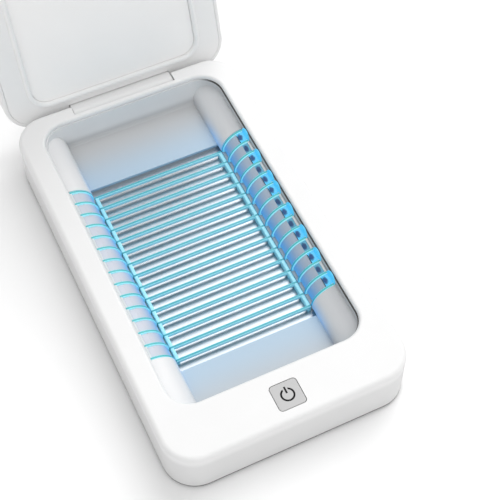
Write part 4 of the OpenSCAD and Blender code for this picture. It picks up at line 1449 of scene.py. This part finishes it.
@dataclass
class DriverBoard:
    """Parts on the driver board in the front of the base."""

    top_z: float = 8.0
    front_y: float = -97.55
    height: float = 9.0
    inner: float = 13.0
    outer: float = 35.0
    core_t: float = 2.0
    core_w: float = 10.0
    capacitor: Point = (4.0, 5.5)
    wire: float = 0.45
    connector_x: float = 37.0
    connector_y: float = -89.55
    pin_x: float = 1.27
    plug_z: float = 3.0
    plugs: tuple[tuple[float, float, float], ...] = (
        (0.0, -65.3, 6.4), (0.0, 88.4, 6.0), (-30.0, -65.3, 6.4), (30.0, -65.3, 6.4)
    )
    chips: tuple[Point, ...] = ((-22.0, -72.0), (22.0, -72.0), (0.0, -76.0))
    row_x: float = 12.0
    row_ys: tuple[float, float, int] = (-88.0, 2.6, 9)

    def build(self) -> None:
        """Makes every part on the board."""
        self._transformers()
        self._capacitors()
        self._connectors()
        self._chips()

    def _transformers(self) -> None:
        """Makes two transformers: bobbin, coil, tape and core."""
        r = self.height / 2 - 0.25
        span = self.outer - self.inner - 2 * self.core_t
        right = at((self.inner + self.outer) / 2, self.front_y - 1.0, self.top_z)
        places = [right, MIRROR @ right]
        spool = at(0, 0, self.height / 2) @ Matrix.Rotation(math.pi / 2, 4, "Y")
        bobbin, core = Shape(), Shape()
        rim = ((0, 0.5), (r - 0.2, 0.5), (r, 0.3))
        flange = [(x, -z) for x, z in rim] + list(rim[::-1])
        for middle in (-(span - 1) / 2, 0.0, (span - 1) / 2):
            bobbin.turned(flange, 32, spool @ at(0, 0, middle))
        bobbin.slab((0, 0), (span, self.core_w), 0, 1.0)
        bobbin.repeat(places).piece(
            "transformer_bobbins", Finishes.nylon, "transformer", ["driver_transformers"]
        )
        self._coils(r - 1.1, span, spool, places)
        for side in SIDES:
            middle = (side * (span + self.core_t) / 2, 0)
            core.slab(middle, (self.core_t, self.core_w), 0, self.height, 0.35)
        core.repeat(places).piece("transformer_cores", Finishes.ferrite, "transformer")

    def _coils(self, r: float, span: float, spool: Matrix, places: list[Matrix]) -> None:
        """Makes the bare coils and the taped coils beside them.

        Args:
            r: radius of a coil.
            span: length between the outer flanges.
            spool: turn of the bobbin's axis.
            places: where the transformers stand.
        """
        low, high, wire = 0.5, span / 2 - 1.0, self.wire
        turns = int((high - low) / wire)
        coil = [(0.0, low)]
        for i in range(turns):
            z = low + i * wire
            coil += [
                (r - 0.08, z), (r + 0.02, z + wire * 0.25), (r + 0.06, z + wire * 0.5),
                (r + 0.02, z + wire * 0.75),
            ]
        coil += [(r - 0.08, low + turns * wire), (0.0, low + turns * wire)]
        wound = Shape().turned(coil, 24, spool).repeat(places)
        wound.piece("transformer_coils", Finishes.copper, "transformer")
        tape = [
            (0.0, -high), (r - 0.1, -high), (r + 0.12, -high + 0.2), (r + 0.16, -high / 2),
            (r + 0.12, -low - 0.2), (r - 0.1, -low), (0.0, -low),
        ]
        wrapped = Shape().turned(tape, 32, spool).repeat(places)
        wrapped.piece("transformer_tape", Finishes.tape, "transformer")

    def _capacitors(self) -> None:
        """Makes two capacitors: sleeve, scored can top and base."""
        r, x = self.capacitor
        inner, h = r - 0.5, self.height
        places = [at(s * x, self.front_y, self.top_z) for s in SIDES]
        sleeve = [
            (0.0, 0.0), (r - 0.15, 0.0), (r, 0.15), (r, 0.8), (r - 0.15, 1.0), (inner - 0.15, 1.15),
            (inner - 0.15, 1.45), (inner, 1.7), (inner, h - 0.35), (inner - 0.3, h - 0.05),
            (inner - 0.7, h - 0.02), (inner - 0.75, h - 0.15), (0.0, h - 0.15),
        ]
        sleeves = Shape().turned(sleeve, 40).repeat(places)
        sleeves.piece("capacitor_sleeves", Finishes.capacitor, "capacitor", ["driver_capacitors"])
        lid, score = inner - 0.78, inner * 1.2
        top = Shape().turned([(0.0, h - 0.2), (lid, h - 0.2), (lid, h - 0.09), (0.0, h - 0.06)], 32)
        for size in ((score, 0.24), (0.24, score)):
            top.slab((0, 0), size, h - 0.1, h - 0.02, 0.04)
        top.repeat(places).piece("capacitor_tops", Finishes.cap, "capacitor")

    def _connectors(self) -> None:
        """Makes the shrouded headers, the ribbon socket and the plugs under the boards."""
        shell, pins, z = Shape(), Shape(), self.top_z
        for side in SIDES:
            x, y = side * self.connector_x, self.connector_y
            shell.slab((x, y), (8, 6), z, z + 0.8, 0.15)
            for wall in SIDES:
                shell.slab((x, y + wall * 2.6), (8, 0.8), z + 0.2, z + 5, 0.15)
            for wall in SIDES:
                shell.slab((x + wall * 3.6, y), (0.8, 6), z + 0.2, z + 5, 0.15)
                pins.slab((x + wall * self.pin_x, y), (0.64, 0.64), z + 0.5, z + 4.2, 0.15)
        shell.slab((0, self.connector_y), (10, 3), z, z + 4)
        for x, y, top in self.plugs:
            shell.slab((x, y + 3), (8, 6), self.plug_z, top, 0.3)
            front = y - 0.15 if y < 0 else y + 1
            for key_x in (x - 2.2, x, x + 2.2):
                key = (key_x, (front + y + 5) / 2)
                shell.slab(key, (1.0, y + 5 - front), self.plug_z + 0.6, top - 0.3, 0.1)
        shell.piece("connector_shells", Finishes.nylon, "connector", ["driver_connectors"])
        pins.piece("connector_pins", Finishes.pin, "connector")

    def _chips(self) -> None:
        """Makes the small flat parts behind the transformers."""
        legs, bodies, ends, z = Shape(), Shape(), Shape(), self.top_z
        for x, y in self.chips:
            bodies.slab((x, y), (4.8, 3.8), z + 0.1, z + 1.25, 0.18)
            for leg in LEGS:
                legs.slab((x + leg, y), (0.4, 5.8), z, z + 0.35, 0.08)
        first, pitch, count = self.row_ys
        for i in range(count):
            for x in (-self.row_x, self.row_x):
                y = first + i * pitch
                bodies.slab((x, y), (1.2, 1.24), z, z + 0.55, 0.06)
                ends.slab((x, y), (2.0, 1.2), z, z + 0.5, 0.08)
        bodies.piece("driver_chips", Finishes.chip, "switch_black")
        legs.join(ends).piece("driver_chip_legs", Finishes.solder, "steel_screw")


@dataclass
class Inlet:
    """Power inlet socket: rolled steel shell and a tongue with contacts on both faces."""

    place: Point = (110.4, 8.83)
    size: Point = (8.94, 3.26)
    depth: float = 7.35
    sheet: float = 0.3
    contacts: int = 11
    contact: Point = (0.28, 0.5)

    def build(self) -> None:
        """Makes the socket's pieces."""
        y, z = self.place
        facing = at(0, y, z) @ Matrix.Rotation(math.pi / 2, 4, "X")
        shell = self._shell().place(facing)
        shell.piece("socket_shell", Finishes.socket, "socket_steel", ["inlet_socket"])
        tongue = Shape().slab((0, 0), (self.size[0] * 0.74, 0.72), 0.9, self.depth - 0.3, 0.15)
        tongue.place(facing).piece("socket_tongue", Finishes.switch, "switch_black")
        contacts, (wide, pitch) = Shape(), self.contact
        for i in range(self.contacts):
            x = (i - (self.contacts - 1) / 2) * pitch - wide / 2
            for side in SIDES:
                low, high = sorted((side * 0.34, side * 0.42))
                contacts.block((x, low, 1.2), (x + wide, high, self.depth - 1.5), 0.03, 1)
        contacts.place(facing).piece("socket_contacts", Finishes.gold, "socket_steel")

    def _shell(self) -> Shape:
        """Builds the oval shell, open in front and closed at the back.

        Returns:
            The shell, its mouth on the origin and its depth along Z.
        """
        w, h = self.size
        shape = Shape()
        work = shape.work
        ring = bmesh.ops.create_circle(work, segments=32, radius=h / 2 - 0.01)["verts"]
        for vert in ring:
            vert.co.x += math.copysign(w / 2 - h / 2, vert.co.x)
        wall = list({e for v in ring for e in v.link_edges})
        for depth in (0.25, self.depth - 0.6, 0.35):
            _, wall = shape.drawn(wall, (0, 0, depth))
        bmesh.ops.contextual_create(work, geom=wall)
        bmesh.ops.recalc_face_normals(work, faces=work.faces[:])
        bmesh.ops.solidify(work, geom=work.faces[:], thickness=self.sheet)
        return shape


@dataclass
class ControlBoard:
    """Parts beside the tact switch on the board under the button."""

    top_z: float = 23.0
    middle_y: float = -97.55
    switch_w: float = 6.2
    switch_h: float = 2.8
    chip_x: float = 14.0
    row_y: float = -90.55
    row_xs: tuple[float, float, int] = (-8.5, 3.4, 6)

    def build(self) -> None:
        """Makes the switch's frame and the small parts."""
        w, y, z = self.switch_w / 2, self.middle_y, self.top_z
        top, wide = z + self.switch_h, w - 0.25
        outline = [(1.95, top), (wide, top), (wide, top + 0.05), (1.95, top + 0.05), (1.95, top)]
        post = [(0.0, top), (0.45, top), (0.45, top + 0.05), (0.25, top + 0.07), (0.0, top + 0.07)]
        switch_frame = Shape().turned(outline, 40, at(0, y, 0))
        for sx, sy in CORNERS:
            switch_frame.turned(post, 16, at(sx * (w - 0.75), y + sy * (w - 0.75), 0))
            switch_frame.slab((sx * (w + 0.4), y + sy * 2.2), (1.0, 0.7), z, z + 0.25, 0.08)
        switch_frame.piece("switch_frame", Finishes.socket, "socket_steel")
        chips, ends = Shape(), Shape()
        for x in (-self.chip_x, self.chip_x):
            chips.slab((x, y), (5.2, 4.0), z, z + 1.2, 0.18)
            for leg in LEGS:
                ends.slab((x + leg, y), (0.4, 6.0), z, z + 0.3, 0.08)
        first, pitch, count = self.row_xs
        for x in (first + i * pitch for i in range(count)):
            chips.slab((x, self.row_y), (1.2, 1.2), z, z + 0.5, 0.06)
            ends.slab((x, self.row_y), (2.0, 1.1), z, z + 0.45, 0.08)
        chips.piece("control_chips", Finishes.chip, "switch_black")
        ends.piece("control_chip_ends", Finishes.solder, "steel_screw")


def dress(node: str, finish: Finish) -> None:
    """Gives a CAD node its finish.

    Args:
        node: name of the node.
        finish: its finish.
    """
    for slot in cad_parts[node].material_slots:
        slot.material = finish.material()
    LOG.info("dressed %s with %s", node, finish.name)


CAD_FINISHES = {
    "base_shell": Finishes.housing,
    "base_plate": Finishes.plate,
    "chamber_tub": Finishes.tub,
    "reflector_tray": Finishes.reflector,
    "driver_board": Finishes.board,
    "control_board": Finishes.board,
    "inlet_board": Finishes.board,
    "switch_body": Finishes.switch,
    "switch_plunger": Finishes.plunger,
    "power_button": Finishes.button,
    "power_sign": Finishes.sign,
    "power_lead": Finishes.lead,
    "lamp_leads": Finishes.wire,
    "control_lead": Finishes.ribbon,
    "hinge_lug": Finishes.housing,
    "lid_shell": Finishes.lid_shell,
    "lid_liner": Finishes.liner,
    "lid_panel": Finishes.panel,
}


def main() -> None:
    """Sets the studio, dresses the CAD nodes and makes every piece in order."""
    logging.basicConfig(level=logging.INFO, format="%(name)s: %(message)s")
    studio = Studio()
    studio.camera()
    studio.floor()
    studio.light()
    for node, finish in CAD_FINISHES.items():
        dress(node, finish)
    hinge = Hinge()
    for row in SCREW_ROWS:
        row.build(hinge.opened())
    for part in (
        Feet(), hinge, Guards(), TubRolls(), LampWindows(), Lamps(), DriverBoard(), ControlBoard(), Inlet()
    ):
        part.build()


if __name__ == "__main__":
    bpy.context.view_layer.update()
    main()
